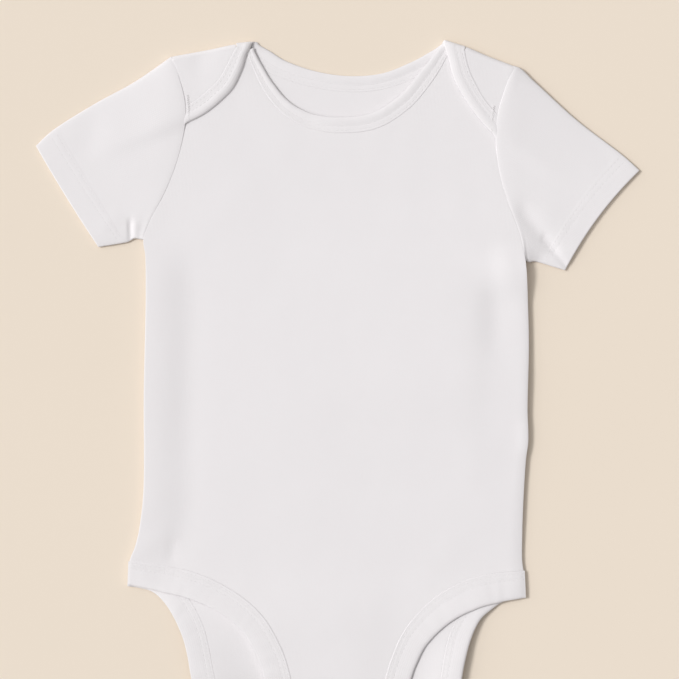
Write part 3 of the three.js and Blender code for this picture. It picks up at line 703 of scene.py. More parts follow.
def makeFrontPanel():
    step = frontPanel["edgeStep"]
    neck = keepWhile(neckSeam.run(), belowShoulders)
    runs = [evenly(neck, step)]
    for side in ("right", "left"):
        armhole = armholeRun(side, armpit[side], 0.5)
        shoulder = [p for p in axisRun[side, 0.5] if abs(p[0]) < abs(armhole[-1][0])]
        end = neck[-1] if side == "right" else neck[0]
        shoulder = [p for p in shoulder if abs(p[0]) > abs(end[0])]
        leg = keepWhile(legSeam[side].run(), insideSides)
        hip = leg[0][1]
        flank = [(edgeX(side, y), y) for y in np.linspace(armpit[side], hip, 160)]
        down = [
            evenly([end, *shoulder[::-1], armhole[-1]], step),
            evenly(armhole[::-1], step),
            evenly(flank, step),
            evenly(leg, step),
        ]
        if side == "right":
            runs += down
        else:
            runs.append(evenly([runs[-1][-1], down[-1][-1]], step))
            runs += [run[::-1] for run in reversed(down)]
    half = suit["wall"] / 2
    middle = sheetMesh(ringOf(*runs), frontPanel["spacing"], lambda x, y: frontUnder(x, y) + half)
    return shellMesh("front_cloth", middle, suit["wall"])


frontCloth = makeFrontPanel()
print("stage: front panel")

# Back panel: the seat, a lap over each shoulder and the crotch flap, all one piece
backPanel = {
    "seatSpacing": 4.2,
    "lapSpacing": 2.0,
    "edgeStep": 1.3,
    "foldLine": -16,
    "flapHem": 8,
    "flap": {"left": -14.6, "right": 31.6},
    "flapBandEdge": {"left": -30, "right": 47},
}
backNeckSeam = PlanLine([
    (-75, 421), (-69.5, 415.7), (-56.8, 405.6), (-42.6, 398.2), (-22, 392.8), (0, 390.4),
    (22.6, 393), (43, 401.4), (56.8, 410.2), (71.5, 419.1), (77, 425),
])
backNeckEdge = PlanLine([
    (-59.5, 423.5), (-56, 418), (-48.6, 413.9), (-38, 408), (-20, 402.6), (0, 400.4),
    (20.6, 402.7), (38, 410), (50, 417), (57.6, 422.6), (61.5, 427.5),
])
lapSeam = {
    "left": PlanLine([
        (-68.4, 421.5), (-69.5, 415.7), (-71.8, 411), (-74.6, 405), (-78.8, 396.5),
        (-84, 390.2), (-93.5, 381.5), (-104.5, 375.6), (-114, 371.6),
    ]),
    "right": PlanLine([
        (70.6, 425), (71.5, 419.1), (73, 412.5), (75.5, 405.5), (79.3, 398.2),
        (85.1, 389), (92.5, 380.8), (100, 373), (107, 366),
    ]),
}
lapEdge = {
    "left": PlanLine([
        (-59, 423), (-60.6, 416.3), (-63.1, 410.9), (-65.4, 402), (-70.1, 390.8),
        (-76.8, 382.8), (-87.5, 373.5), (-99.5, 367), (-110, 362.5),
    ]),
    "right": PlanLine([
        (57, 428.5), (58.5, 422.8), (62, 412.8), (65.2, 402.2), (70.8, 392),
        (77.9, 382), (86.2, 372.6), (94, 364.8), (101, 358),
    ]),
}
backLegSeam = {
    "left": PlanLine([
        (-124.3, 94.3), (-108, 91.5), (-94, 82.5), (-83.6, 70), (-76.2, 56.5), (-71.8, 42),
        (-68.3, 27), (-64.5, 14.5), (-55.5, 3), (-40.5, -5), (-27.5, -16),
    ]),
    "right": PlanLine([
        (121, 97.8), (108, 93.5), (94.5, 85), (83.6, 72.5), (76.2, 57.5), (73.2, 42),
        (71.4, 28), (68.4, 15), (61.5, 3.5), (50.5, -5), (40, -16),
    ]),
}
backLegEdge = {
    "left": PlanLine([
        (-124.3, 79.3), (-110, 76.8), (-101.6, 70.6), (-94.7, 61), (-88.8, 49), (-85.3, 37.6),
        (-82.8, 25.6), (-78.8, 9.6), (-67.6, -5), (-54, -12), (-43.5, -16),
    ]),
    "right": PlanLine([
        (122.4, 82.4), (110, 79.2), (100.8, 72.8), (94.4, 66.2), (89.6, 54.8), (86.6, 42),
        (84.6, 28), (83.2, 11), (74.8, -4.6), (63.5, -12), (57, -16),
    ]),
}


def makeBackPanel():
    step = backPanel["edgeStep"]
    half = suit["wall"] / 2
    seam = suit["seam"]
    foldLine, hem = backPanel["foldLine"], backPanel["flapHem"]
    corner = {side: abs(lapSeam[side].at(1 / 8)[0]) + 0.3 for side in sides}
    axis = {side: axisBetween(side, outward[side] * corner[side], step) for side in sides}
    neck = [p for p in backNeckSeam.run(seam) if -corner["left"] + 1 < p[0] < corner["right"] - 1]
    fold = {side: backLegSeam[side].at(1)[0] - outward[side] * seam for side in sides}
    flapCorner = {side: (backPanel["flap"][side] - outward[side] * seam, hem) for side in sides}
    bottom = evenly([(fold["left"], foldLine), (fold["right"], foldLine)], step)
    flank = {}
    for side in sides:
        leg = keepWhile(backLegSeam[side].run(outward[side] * seam), insideSides)
        leg = [p for p in leg if p[1] > foldLine + 0.3] + [(fold[side], foldLine)]
        down = [(edgeX(side, y), y) for y in np.linspace(armpit[side], leg[0][1], 120)]
        armhole = armholeRun(side, armpit[side])[:-1] + [axis[side][0]]
        flank[side] = [evenly(armhole[::-1], step), evenly(down, step), evenly(leg, step)]
    outline = ringOf(
        evenly([axis["left"][-1], *neck, axis["right"][-1]], step),
        axis["right"][::-1],
        *flank["right"],
        bottom[::-1],
        *[run[::-1] for run in reversed(flank["left"])],
        axis["left"],
    )
    parts = [sheetMesh(outline, backPanel["seatSpacing"], lambda x, y: backUnder(x, y) + half)]
    for side in sides:
        seamRun = lapSeam[side].run(-outward[side] * seam, 1.1 / 8)
        seamRun = [p for p in seamRun if abs(p[0]) < abs(edgeX(side, p[1]))]
        armhole = armholeRun(side, seamRun[-1][1])[:-1] + [axis[side][0]]
        lap = ringOf(
            axis[side],
            evenly([axis[side][-1], *seamRun], step),
            evenly([seamRun[-1], *armhole], step),
        )
        parts.append(sheetMesh(lap, backPanel["lapSpacing"], lambda x, y: lapUnder(x, y) + half))
        turned = foldedCloth(axis[side], lapUnder, suit["foldReach"], partial(shoulderNormalNear, side))
        parts.append(gridMesh(turned if side == "right" else turned[::-1]))
    flap = ringOf(
        bottom,
        evenly([(fold["right"], foldLine), flapCorner["right"]], step),
        evenly([flapCorner["right"], flapCorner["left"]], step),
        evenly([flapCorner["left"], (fold["left"], foldLine)], step),
    )
    parts.append(sheetMesh(flap, backPanel["lapSpacing"], lambda x, y: flapUnder(x, y) + half))
    turned = foldedCloth(bottom, flapUnder, suit["crotchReach"], lambda x, y: (0, -1))
    parts.append(gridMesh(turned[::-1]))
    return shellMesh("back_cloth", outwardFaces(parts), suit["wall"])


def outwardFaces(parts):
    # the seat faces down and everything that is turned over it faces up
    seat = (parts[0][0], [tuple(reversed(f)) for f in parts[0][1]], parts[0][2])
    spots, faces, lay = joined(seat, *parts[1:])
    return spots, agreed(faces), lay


def agreed(faces):
    # turn faces until every shared edge runs opposite ways in its two faces
    owners = {}
    for i, face in enumerate(faces):
        for a, b in zip(face, face[1:] + face[:1]):
            owners.setdefault(frozenset((a, b)), []).append(i)
    done = {0}
    waiting = [0]
    faces = list(faces)
    while waiting:
        i = waiting.pop()
        face = faces[i]
        for a, b in zip(face, face[1:] + face[:1]):
            for j in owners[frozenset((a, b))]:
                if j in done:
                    continue
                other = faces[j]
                if (a, b) in zip(other, other[1:] + other[:1]):
                    faces[j] = tuple(reversed(other))
                done.add(j)
                waiting.append(j)
    return faces


backCloth = makeBackPanel()
print("stage: back panel")

# Bindings and bands: strips between a seam line and a free edge, with rows of stitches
ribShape = {
    "troughWidth": 0.45,
    "crownLean": 1.4,
    "crownPower": 0.9,
    "waveLength": (5.5, 16),
    "seamPucker": 0.4,
    "puckerReach": 6,
    "calm": (-50, 0),  # the columns between which the troughs go from their calm share to all
    "sewnWidth": 3,
    "sewnEnd": 1,
}
stripSteps = {"frontNeck": 170, "lap": 60, "backNeck": 130, "frontLeg": 150, "backLeg": 140, "flap": 20}
neckBinding = {
    # narrow where it runs under a lap
    "frontWidths": [4.5, 5.5, 7.6, 8.4, 9.2, 9.8, 10, 10, 9.9, 7, 4.5],
    "columns": [
        0, 0.14, 0.4, 0.8, 1.2, 1.6, 2, 2.6, 3.3, 3.9, 4.3, 4.7, 5.2, 6.2, 7.2, 8.2, 8.9, 9.4, 9.75, 10,
    ],
    "stitchRows": (1.6, 4.3),
    "trough": 0.07,
    "calm": 0.2,  # share of the troughs that is left on the left lap
    "crown": 0.34,
    "pucker": 0.08,
}
legBand = {
    "columns": [
        0, 0.14, 0.4, 0.8, 1.2, 1.6, 2, 2.8, 3.8, 4.4, 4.8, 5.2, 6, 7.4, 9, 10.6, 12.2, 13.6, 14.6, 15.1,
        15.4, 15.5,
    ],
    "stitchRows": (1.6, 4.8),
    "trough": 0.06,
    "calm": 1,
    "crown": 0.14,
    "pucker": 0.12,
    "left": [14.8, 16.6, 16.4, 15.6, 15.7, 16.1, 16, 15.6, 15.5],
    "right": [16.2, 18.7, 18.9, 18, 16.6, 15.8, 15.5, 15.5, 15.5],
    "frontEnd": {  # the seam and the free edge at the side
        "left": ((-124.2, 94.7), (-124.2, 80.2)),
        "right": ((121.2, 98.35), (122.5, 81.6)),
    },
}


def acrossShape(look, across, along, seed, calm):
    # height of a binding's face over a flat one, at a place across it and along it
    shape = ribShape
    height = 0
    for row in look["stitchRows"]:
        height -= calm * look["trough"] * bell((across - row) / shape["troughWidth"])
    last, width = look["stitchRows"][-1], look["columns"][-1]
    if across > last:
        share = (across - last) / (width - last)
        height += look["crown"] * math.sin(math.pi * share ** shape["crownLean"]) ** shape["crownPower"]
    wave = noise.noise(Vector((along / shape["waveLength"][0], across / shape["waveLength"][1], seed)))
    share = lerp(shape["seamPucker"], 1, smooth(across, 0, shape["puckerReach"]))
    return height + look["pucker"] * wave * share


class Strip:
    # rows of points from a seam to a free edge; each row has its own pair of end points
    def __init__(self, look, thick, seed):
        self.look, self.thick, self.seed = look, thick, seed
        self.rows = []

    def add(self, seam, free, height):
        # height(t, x, y) is the underside's height at a share t of the way across
        self.rows.append((seam, free, height))

    def spotAt(self, i, across, along):
        seam, free, height = self.rows[i]
        t = across / self.look["columns"][-1]
        x, y = (lerp(a, b, t) for a, b in zip(seam, free))
        calm = lerp(self.look["calm"], 1, smooth(x, *ribShape["calm"]))
        rise = acrossShape(self.look, across, along, self.seed, calm)
        return (x, y, height(t, x, y) + rise), (t * math.dist(seam, free), along)

    def middle(self):
        along = self.runs()
        rows, lay = [], []
        for i, place in enumerate(along):
            row = [self.spotAt(i, across, place) for across in self.look["columns"]]
            rows.append([(x, y, z + self.thick / 2) for (x, y, z), _ in row])
            lay += [l for _, l in row]
        return gridMesh(rows, lay)

    def runs(self):
        centres = []
        for seam, free, height in self.rows:
            x, y = (lerp(a, b, 0.5) for a, b in zip(seam, free))
            centres.append((x, y, height(0.5, x, y)))
        return lengths(centres)

    def top(self, across):
        # a line on the strip's face, for stitches
        found = []
        for i, place in enumerate(self.runs()):
            (x, y, z), _ = self.spotAt(i, across, place)
            found.append((x, y, z + self.thick))
        return found

    def made(self, name):
        # it is sewn along its seam and at both ends
        end = self.runs()[-1] - ribShape["sewnEnd"]

        def sewnAt(lay):
            return lay[0] < ribShape["sewnWidth"] or lay[1] < ribShape["sewnEnd"] or lay[1] > end

        return shellMesh(name, self.middle(), self.thick, sewnAt), self


def widthAt(widths, t):
    place = t * (len(widths) - 1)
    i = min(int(place), len(widths) - 2)
    return lerp(widths[i], widths[i + 1], place - i)


def evenPairs(seam, free, count):
    return list(zip(*(evenly(line, lengths(line)[-1] / count) for line in (seam, free))))


def flatOver(under):
    return lambda t, x, y: under(x, y)


def makeFrontNeckBinding():
    widths = neckBinding["frontWidths"]
    seam = keepWhile(neckSeam.run(-suit["seam"]), belowShoulders)
    free = [neckSeam.beside(k / 200, -widthAt(widths, k / 200)) for k in range(201)]
    free = keepWhile(free, belowShoulders)
    strip = Strip(neckBinding, suit["wall"] + suit["bindingRise"], 11)
    for pair in evenPairs(seam, free, stripSteps["frontNeck"]):
        strip.add(*pair, flatOver(frontUnder))
    return strip.made("neck_binding_front")


def lapPairs(side):
    # the seam and the free edge of a lap's binding, from the shoulder fold to the armhole
    def insideArmhole(x, y):
        return abs(edgeX(side, y)) - abs(x)

    seam = keepWhile(lapSeam[side].run(0, 1 / 8), insideArmhole)
    free = keepWhile(lapEdge[side].run(0, 1 / 8), insideArmhole)
    return evenPairs(seam, free, stripSteps["lap"])


def makeBackNeckBinding():
    strip = Strip(neckBinding, suit["wall"] + suit["innerRise"], 23)
    rows = len(backNeckSeam.points) - 1

    def addTurn(side, order):
        seam, free = lapSeam[side].at(1 / 8), lapEdge[side].at(1 / 8)
        end = backNeckEdge.at(1 / rows if side == "left" else 1 - 1 / rows)
        nx, ny = shoulderNormal(side, 0.85)
        for out, up in halfTurn(foldSteps["strip"])[1:-1][::order]:
            share = (1 + up) / 2
            dx, dy = nx * suit["foldReach"] * out, ny * suit["foldReach"] * out
            tip = tuple(lerp(b, a, share) for a, b in zip(free, end))

            def height(t, x, y, share=share, dx=dx, dy=dy):
                return lerp(backUnder(x - dx, y - dy), lapBinding(t, x - dx, y - dy), share)

            strip.add(*((p[0] + dx, p[1] + dy) for p in (seam, tip)), height)

    for pair in lapPairs("left")[::-1]:
        strip.add(*pair, lapBinding)
    addTurn("left", -1)
    for k in range(stripSteps["backNeck"] + 1):
        t = lerp(1 / rows, 1 - 1 / rows, k / stripSteps["backNeck"])
        strip.add(backNeckSeam.at(t), backNeckEdge.at(t), flatOver(backUnder))
    addTurn("right", 1)
    for pair in lapPairs("right"):
        strip.add(*pair, lapBinding)
    return strip.made("neck_binding_back")


def makeFrontLegBand(side):
    sign = -outward[side]
    strip = Strip(legBand, suit["wall"] + suit["bindingRise"], 31 + sign)
    count = stripSteps["frontLeg"]
    start = next(k / 400 for k in range(400) if insideSides(*legSeam[side].at(k / 400)) > 0)
    for k in range(count + 1):
        t = lerp(start, 1, k / count)
        pair = [legSeam[side].beside(t, sign * d) for d in (suit["seam"], widthAt(legBand[side], t))]
        if k == 0:
            moves = [(e[0] - p[0], e[1] - p[1]) for e, p in zip(legBand["frontEnd"][side], pair)]
        share = 1 - smooth(k / count, 0, 0.14)
        pair = [(p[0] + m[0] * share, p[1] + m[1] * share) for p, m in zip(pair, moves)]
        strip.add(*pair, flatOver(frontUnder))
    return strip.made("leg_band_front_" + side)


def makeBackLegBand(side):
    strip = Strip(legBand, suit["wall"] + suit["innerRise"], 41 + outward[side])
    for k in range(stripSteps["backLeg"] + 1):
        seam, free = (line[side].at(k / stripSteps["backLeg"]) for line in (backLegSeam, backLegEdge))
        strip.add(seam, free, flatOver(backUnder))
    foldLine = backPanel["foldLine"]
    for out, up in halfTurn(foldSteps["strip"])[1:-1]:

        def height(u, x, y, share=(1 + up) / 2):
            return lerp(backUnder(x, foldLine), flapUnder(x, foldLine), share)

        y = foldLine - suit["crotchReach"] * out
        strip.add((seam[0], y), (free[0], y), height)
    for k in range(stripSteps["flap"] + 1):
        t = k / stripSteps["flap"]
        y = lerp(foldLine, backPanel["flapHem"], t)
        ends = ((seam, backPanel["flap"]), (free, backPanel["flapBandEdge"]))
        strip.add(*((lerp(p[0], goal[side], t), y) for p, goal in ends), flatOver(flapUnder))
    return strip.made("leg_band_back_" + side)


frontBinding, frontBindingStrip = makeFrontNeckBinding()
backBinding, backBindingStrip = makeBackNeckBinding()
frontLegBands = {side: makeFrontLegBand(side) for side in sides}
backLegBands = {side: makeBackLegBand(side) for side in sides}
print("stage: bindings and leg bands")

# Sleeves: the top fold and the underarm seam at each section past the armhole, and how far the
# section bows in from a straight line between them. The last two rows are the hem and the cuff.
sleeve = {
    "left": [
        ((-132, 391.6), (-127.8, 294.6), 0),
        ((-155, 377.8), (-130.6, 293.4), 0),
        ((-179.8, 361), (-134, 291.8), -0.4),
        ((-191, 350.2), (-149.6, 288.6), -0.7),
    ],
    "right": [
        ((116, 401.2), (116.8, 289.2), 0),
        ((143, 378.4), (120, 289.9), 1.5),
        ((170.6, 358.9), (124.6, 289), 2.9),
        ((182.4, 349.3), (138.4, 285.3), 3.2),
    ],
    "folds": {
        "left": [
            ((-130.5, 291), (-131.2, 304), 1.6, -1.0),
            ((-127.2, 293), (-127.8, 303), 2.4, 0.5),
            ((-160, 352), (-156, 364), 8, -0.4),
            ((-148, 300), (-140, 308), 4, 0.22),
            ((-118, 330), (-140, 345), 12, 0.2),
        ],
        "right": [
            ((112, 320), (130, 298), 4.5, -0.85),
            ((125, 305), (140, 287), 1.4, -0.95),
            ((128, 318), (143, 299), 8, 0.3),
            ((118, 360), (150, 346), 12, 0.18),
            ((150, 372), (166, 352), 7, -0.2),
        ],
    },
    "armhole": {"lap": 4.0, "over": 0.12, "left": (0.31, 0.41), "right": (0.36, 0.46)},
    "crown": {"left": 0, "right": 1.5},  # how far the top fold stands out beside the shoulder
    "crownAt": (0.12, 0.08),
    "cap": 0.55,
    "capAt": ((0.12, 0.16), (0.22, 0.3)),
    "cuff": 2.35,
    "cuffFrom": 0.75,
    "dip": 0.12,  # along the armhole seam
    "dipWidth": 0.02,
    "squareness": {"armhole": 9, "cuff": 4.3},  # of the folds along the top and under the arm
    "squareFrom": 0.15,
    "crowding": 0.86,
    "seam": 1.25,
    "gap": 0.05,
    "hemRise": 0.08,
    "hemWall": 1.1,
    "hemDepth": 15,
    "stitchRows": (11.4, 14.2),
    "trough": 0.05,
    "troughWidth": 0.5,
    "wave": {"height": 0.1, "length": 6, "middle": 12},
    "around": 42,
    "layScale": (2.2, 60),
}


def bellAt(value, place):
    middle, width = place
    return bell((value - middle) / width)


def squared(share, power):
    # one in the middle, falling to nothing at both ends as steeply as the power says
    return (1 - abs(2 * share - 1) ** power) ** (1 / power)


class SleeveForm:
    def __init__(self, side):
        self.side = side
        rows = sleeve[side]
        foldY = shoulderFold[side][0][1]
        self.ends = (foldY, armpit[side])
        self.topLine = PlanLine([self.armholeAt(0)] + [top for top, _, _ in rows])
        self.underLine = PlanLine([self.armholeAt(1)] + [under for _, under, _ in rows])
        self.bowLine = PlanLine([(0, 0)] + [(i + 1, bow) for i, (_, _, bow) in enumerate(rows)])
        self.hem = (len(rows) - 1) / len(rows)

    def armholeAt(self, v):
        y = lerp(*self.ends, v)
        return edgeX(self.side, y) + outward[self.side] * sleeve["gap"], y

    def plan(self, s, v):
        top, under = self.topLine.at(s), self.underLine.at(s)
        top = (top[0], top[1] + sleeve["crown"][self.side] * bellAt(s, sleeve["crownAt"]))
        width = math.dist(top, under)
        chord = ((under[0] - top[0]) / width, (under[1] - top[1]) / width)
        bow = 4 * v * (1 - v) * self.bowLine.at(s)[1] * outward[self.side]
        start, end, curve = self.armholeAt(0), self.armholeAt(1), self.armholeAt(v)
        fade = max(1 - s / self.hem, 0) ** 1.5
        x = lerp(top[0], under[0], v) + (curve[0] - lerp(start[0], end[0], v)) * fade + chord[1] * bow
        y = lerp(top[1], under[1], v) + (curve[1] - lerp(start[1], end[1], v)) * fade - chord[0] * bow
        return x, y, width

    def along(self, s):
        # millimetres to the cuff
        return (1 - s) / (1 - self.hem) * sleeve["hemDepth"]

    def frontAt(self, v):
        # the front's face where this line of the sleeve is sewn to it
        x, y = self.armholeAt(v)
        side, inset = nearSide(x, y)
        face = suit["frontRest"] + sideHeight(side, inset, x, y) + suit["wall"]
        return face + sleeve["armhole"]["over"]

    def faceHeight(self, s, v, x, y):
        full = math.prod(bellAt(share, place) for share, place in zip((s, v), sleeve["capAt"]))
        armhole = sleeve["armhole"]
        beside = lerp(armhole["lap"], self.frontAt(v), smooth(v, *armhole[self.side]))
        rest = lerp(beside, sleeve["cuff"], smooth(s, 0, sleeve["cuffFrom"])) + sleeve["cap"] * full
        rest -= sleeve["dip"] * bell(s / sleeve["dipWidth"])
        inHem = smooth(s, self.hem - 0.012, self.hem + 0.004)
        rows = sum(bell((self.along(s) - row) / sleeve["troughWidth"]) for row in sleeve["stitchRows"])
        long, middle = sleeve["wave"]["length"], sleeve["wave"]["middle"]
        wave = sleeve["wave"]["height"] * noise.noise(Vector((x / long, y / long, 5)))
        wave *= bellAt(self.along(s), (middle, long))
        height = rest + foldHeight(sleeve["folds"][self.side], x, y) + ripple(x, y, 9)
        return height + sleeve["hemRise"] * inHem - sleeve["trough"] * rows + wave

    def spot(self, s, k, inset):
        count = sleeve["around"]
        upper = k <= count
        t = (k if upper else 2 * count - k) / count
        share = crowded(t, sleeve["crowding"])
        width = self.plan(s, share)[2]
        v = 0.5 + (share - 0.5) * (1 - 2.4 * inset / width)
        x, y, _ = self.plan(s, v)
        square = sleeve["squareness"]
        power = lerp(square["armhole"], square["cuff"], smooth(s, 0, sleeve["squareFrom"]))
        flat = squared(share, power)
        limit = self.faceHeight(s, share, x, y) - inset if upper else inset
        return x, y, lerp(sleeve["seam"], limit, flat)


def makeSleeve(side):
    form = SleeveForm(side)
    hem = form.hem
    stations = [0, 0.004, 0.012, 0.03] + [0.06 + 0.03 * k for k in range(22)]
    stations += [hem - 0.03 + 0.006 * k for k in range(20)]
    stations += [0.86 + 0.02 * k for k in range(6)] + [0.98, 0.993, 1]
    stations = sorted(set(round(s, 4) for s in stations))
    thick, hemThick = suit["wall"], sleeve["hemWall"]
    path = [(s, 0) for s in stations]
    for k in range(1, 6):
        turn = math.pi * k / 6
        path.append((1 + 0.012 * math.sin(turn), hemThick / 2 * (1 - math.cos(turn))))
    path += [(s, hemThick if s >= hem else thick) for s in stations[::-1]]
    for k in range(1, 4):
        turn = math.pi * k / 4
        path.append((-0.006 * math.sin(turn), thick / 2 * (1 + math.cos(turn))))
    around = 2 * sleeve["around"]
    points, lay, faces = [], [], []
    for s, inset in path:
        inner = min(max(s, 0), 1)
        ring = [form.spot(inner, k, inset) for k in range(around)]
        inwards = 0.02 if inner < 0.5 else -0.02
        end, near = form.plan(inner, 0.5)[:2], form.plan(inner + inwards, 0.5)[:2]
        push = abs(s - inner) * sleeve["layScale"][1] / math.dist(end, near)
        shift = [(a - b) * push for a, b in zip(end, near)]
        points += [(x + shift[0], y + shift[1], z) for x, y, z in ring]
        lay += [(k * sleeve["layScale"][0], s * sleeve["layScale"][1]) for k in range(around)]
    count = len(path)
    for i in range(count):
        for k in range(around):
            a, b = i * around + k, i * around + (k + 1) % around
            c, d = (i + 1) % count * around + (k + 1) % around, (i + 1) % count * around + k
            faces.append((a, b, c, d) if side == "left" else (d, c, b, a))
    return solidObject("sleeve_" + side, points, faces, lay), form


sleeves = {side: makeSleeve(side) for side in sides}
print("stage: sleeves")


# Stitches: each is a short low thread on the cloth's face
thread = {"radius": 0.15, "pitch": 2.9, "length": 2.2, "around": 6, "sink": 0.1}


class Threads:
    # gathers the stitches of one piece into one mesh
    def __init__(self, name):
        self.name = name
        self.points, self.faces, self.lay = [], [], []

    def stitch(self, a, b, radius):
        a, b = Vector(a), Vector(b)
        forward = (b - a).normalized()
        side = forward.cross(Vector((0, 0, 1))).normalized()
        up = side.cross(forward)
        first = len(self.points)
        around = thread["around"]
        profile = [(0, 0.25), (0.12, 0.8), (0.5, 1), (0.88, 0.8), (1, 0.25)]
        for t, share in profile:
            centre = a.lerp(b, t) + up * (radius * 0.5 * math.sin(math.pi * t) - thread["sink"] * 0.5)
            for k in range(around):
                turn = 2 * math.pi * k / around
                offset = side * math.cos(turn) + up * math.sin(turn)
                self.points.append(centre + offset * radius * share)
                self.lay.append((t, k / around))
        for i in range(len(profile) - 1):
            for k in range(around):
                p, q = first + i * around + k, first + i * around + (k + 1) % around
                self.faces.append((p, q, q + around, p + around))
        last = first + (len(profile) - 1) * around
        self.faces.append(tuple(first + k for k in reversed(range(around))))
        self.faces.append(tuple(last + k for k in range(around)))

    def row(self, line, radius=thread["radius"]):
        spots = evenly(line, thread["pitch"] / 8)
        share = int(round(8 * thread["length"] / thread["pitch"]))
        for k in range(2, len(spots) - 8, 8):
            self.stitch(spots[k], spots[k + share], radius)

    def zigzag(self, lineA, lineB, pitch, radius):
        count = max(int(lengths(lineA)[-1] / pitch), 2)
        a = evenly(lineA, lengths(lineA)[-1] / count)
        b = evenly(lineB, lengths(lineB)[-1] / count)
        for k in range(1, min(len(a), len(b)) - 1):
            self.stitch(a[k], b[k], radius)
            self.stitch(b[k], a[k + 1] if k + 1 < len(a) else a[k], radius)

    def made(self):
        faces = [tuple(reversed(f)) for f in self.faces]
        return solidObject(self.name, [tuple(p) for p in self.points], faces, self.lay)


def coverRows(threads, strip, zigzag=False):
    rows = strip.look["stitchRows"]
    for row in rows:
        threads.row(strip.top(row))
    if zigzag:
        threads.zigzag(strip.top(rows[0] + 0.3), strip.top(rows[1] - 0.3), 1.9, 0.1)


def lapFace(x, y):
    return lapUnder(x, y) + suit["wall"]


def barTack(threads, side, points, width, pitch):
    # a dense zigzag that fastens a lap where it ends at the armhole
    count = int(lengths(points)[-1] / pitch)
    spots = evenly(points, lengths(points)[-1] / count)
    for k in range(len(spots) - 1):
        (ax, ay), (bx, by) = spots[k], spots[k + 1]
        middle = (ax + bx) / 2 + outward[side] * width, (ay + by) / 2
        z = max(lapFace(ax, ay), lapFace(*middle)) + tack["rise"]
        threads.stitch((ax, ay, z), (*middle, z), 0.15)
        threads.stitch((*middle, z), (bx, by, z), 0.15)


tack = {
    "left": [(-96.6, 369.6), (-96.9, 377), (-98, 384.5)],
    "right": [(89.4, 369.2), (89.4, 377), (90.1, 385.4)],
    "width": 1.7,
    "pitch": 1.3,
    "rise": 0.28,
}


def makeThreads():
    made = {}
    threads = Threads("neck_stitches_front")
    coverRows(threads, frontBindingStrip)
    made["neck_binding_front"] = threads.made()
    threads = Threads("neck_stitches_back")
    coverRows(threads, backBindingStrip)
    for side in sides:
        barTack(threads, side, tack[side], tack["width"], tack["pitch"])
    made["neck_binding_back"] = threads.made()
    for side in sides:
        for bands, word in ((frontLegBands, "front"), (backLegBands, "back")):
            threads = Threads(f"leg_stitches_{word}_{side}")
            coverRows(threads, bands[side][1], zigzag=True)
            made[f"leg_band_{word}_{side}"] = threads.made()
        form = sleeves[side][1]
        threads = Threads("hem_stitches_" + side)
        for depth in sleeve["stitchRows"]:
            s = 1 - depth / sleeve["hemDepth"] * (1 - form.hem)
            line = []
            for k in range(3, 98):
                v = k / 100
                x, y, _ = form.plan(s, v)
                line.append((x, y, form.faceHeight(s, v, x, y) * squared(v, 8)))
            threads.row(line, radius=0.12)
        made["sleeve_" + side] = threads.made()
    return made


stitches = makeThreads()
print("stage: stitches")

# Snaps: a round cap on the flap and a round base under the tab, on one post
snap = {
    "xs": (-8.6, 8.4, 25.4),
    "y": -6,
    "around": 40,
    "stud": [  # radius and height
        (0, 1.5), (3.6, 1.5), (4.1, 1.56), (4.4, 1.75), (4.5, 2.0), (4.38, 2.2), (4.1, 2.3), (1.6, 2.3),
        (1.6, 4.1), (3.2, 4.1), (3.4, 4.2), (3.4, 4.4), (3.2, 4.5), (2.0, 4.5), (1.8, 4.6), (1.8, 5.0),
        (1.6, 5.2), (0, 5.2),
    ],
    "socket": [
        (0, 5.7), (2.2, 5.7), (2.2, 5.0), (2.3, 4.9), (3.4, 4.9), (3.6, 5.05), (3.6, 6.2), (3.5, 6.3),
        (1.6, 6.3), (1.6, 7.6), (4.2, 7.6), (4.45, 7.7), (4.5, 7.9), (4.4, 8.1), (4.15, 8.24), (3.7, 8.33),
        (3.3, 8.3), (2.9, 8.22), (2.2, 8.3), (1.2, 8.4), (0, 8.45),
    ],
}


def turnedPiece(name, profile, x, y):
    around = snap["around"]
    points, faces, lay = [], [], []
    rings = []
    for radius, z in profile:
        if radius == 0:
            rings.append([len(points)])
            points.append((x, y, z))
            lay.append((0, z))
            continue
        rings.append(list(range(len(points), len(points) + around)))
        for k in range(around):
            turn = 2 * math.pi * k / around
            points.append((x + radius * math.cos(turn), y + radius * math.sin(turn), z))
            lay.append((radius, z))
    for low, high in zip(rings, rings[1:]):
        for k in range(around):
            quad = [low[k % len(low)], low[(k + 1) % len(low)]]
            quad += [high[(k + 1) % len(high)], high[k % len(high)]]
            face = [p for i, p in enumerate(quad) if p not in quad[:i]]
            faces.append(tuple(face))
    return solidObject(name, points, faces, lay)


snapPieces = []
for i, x in enumerate(snap["xs"]):
    for half in ("stud", "socket"):
        piece = turnedPiece(f"snap_{half}_cap_{i + 1}", snap[half], x, snap["y"])
        snapPieces.append((piece, f"snap_{half}_{i + 1}"))
print("stage: snaps")


# Materials
class Field:
    # one output in a material; an expression on fields adds math nodes
    def __init__(self, paint, link):
        self.paint, self.link = paint, link

    def __add__(self, other):
        return self.paint.math("ADD", self, other)

    def __radd__(self, other):
        return self.paint.math("ADD", other, self)

    def __sub__(self, other):
        return self.paint.math("SUBTRACT", self, other)

    def __rsub__(self, other):
        return self.paint.math("SUBTRACT", other, self)

    def __mul__(self, other):
        return self.paint.math("MULTIPLY", self, other)

    def __truediv__(self, other):
        return self.paint.math("DIVIDE", self, other)

    def __pow__(self, other):
        return self.paint.math("POWER", self, other)


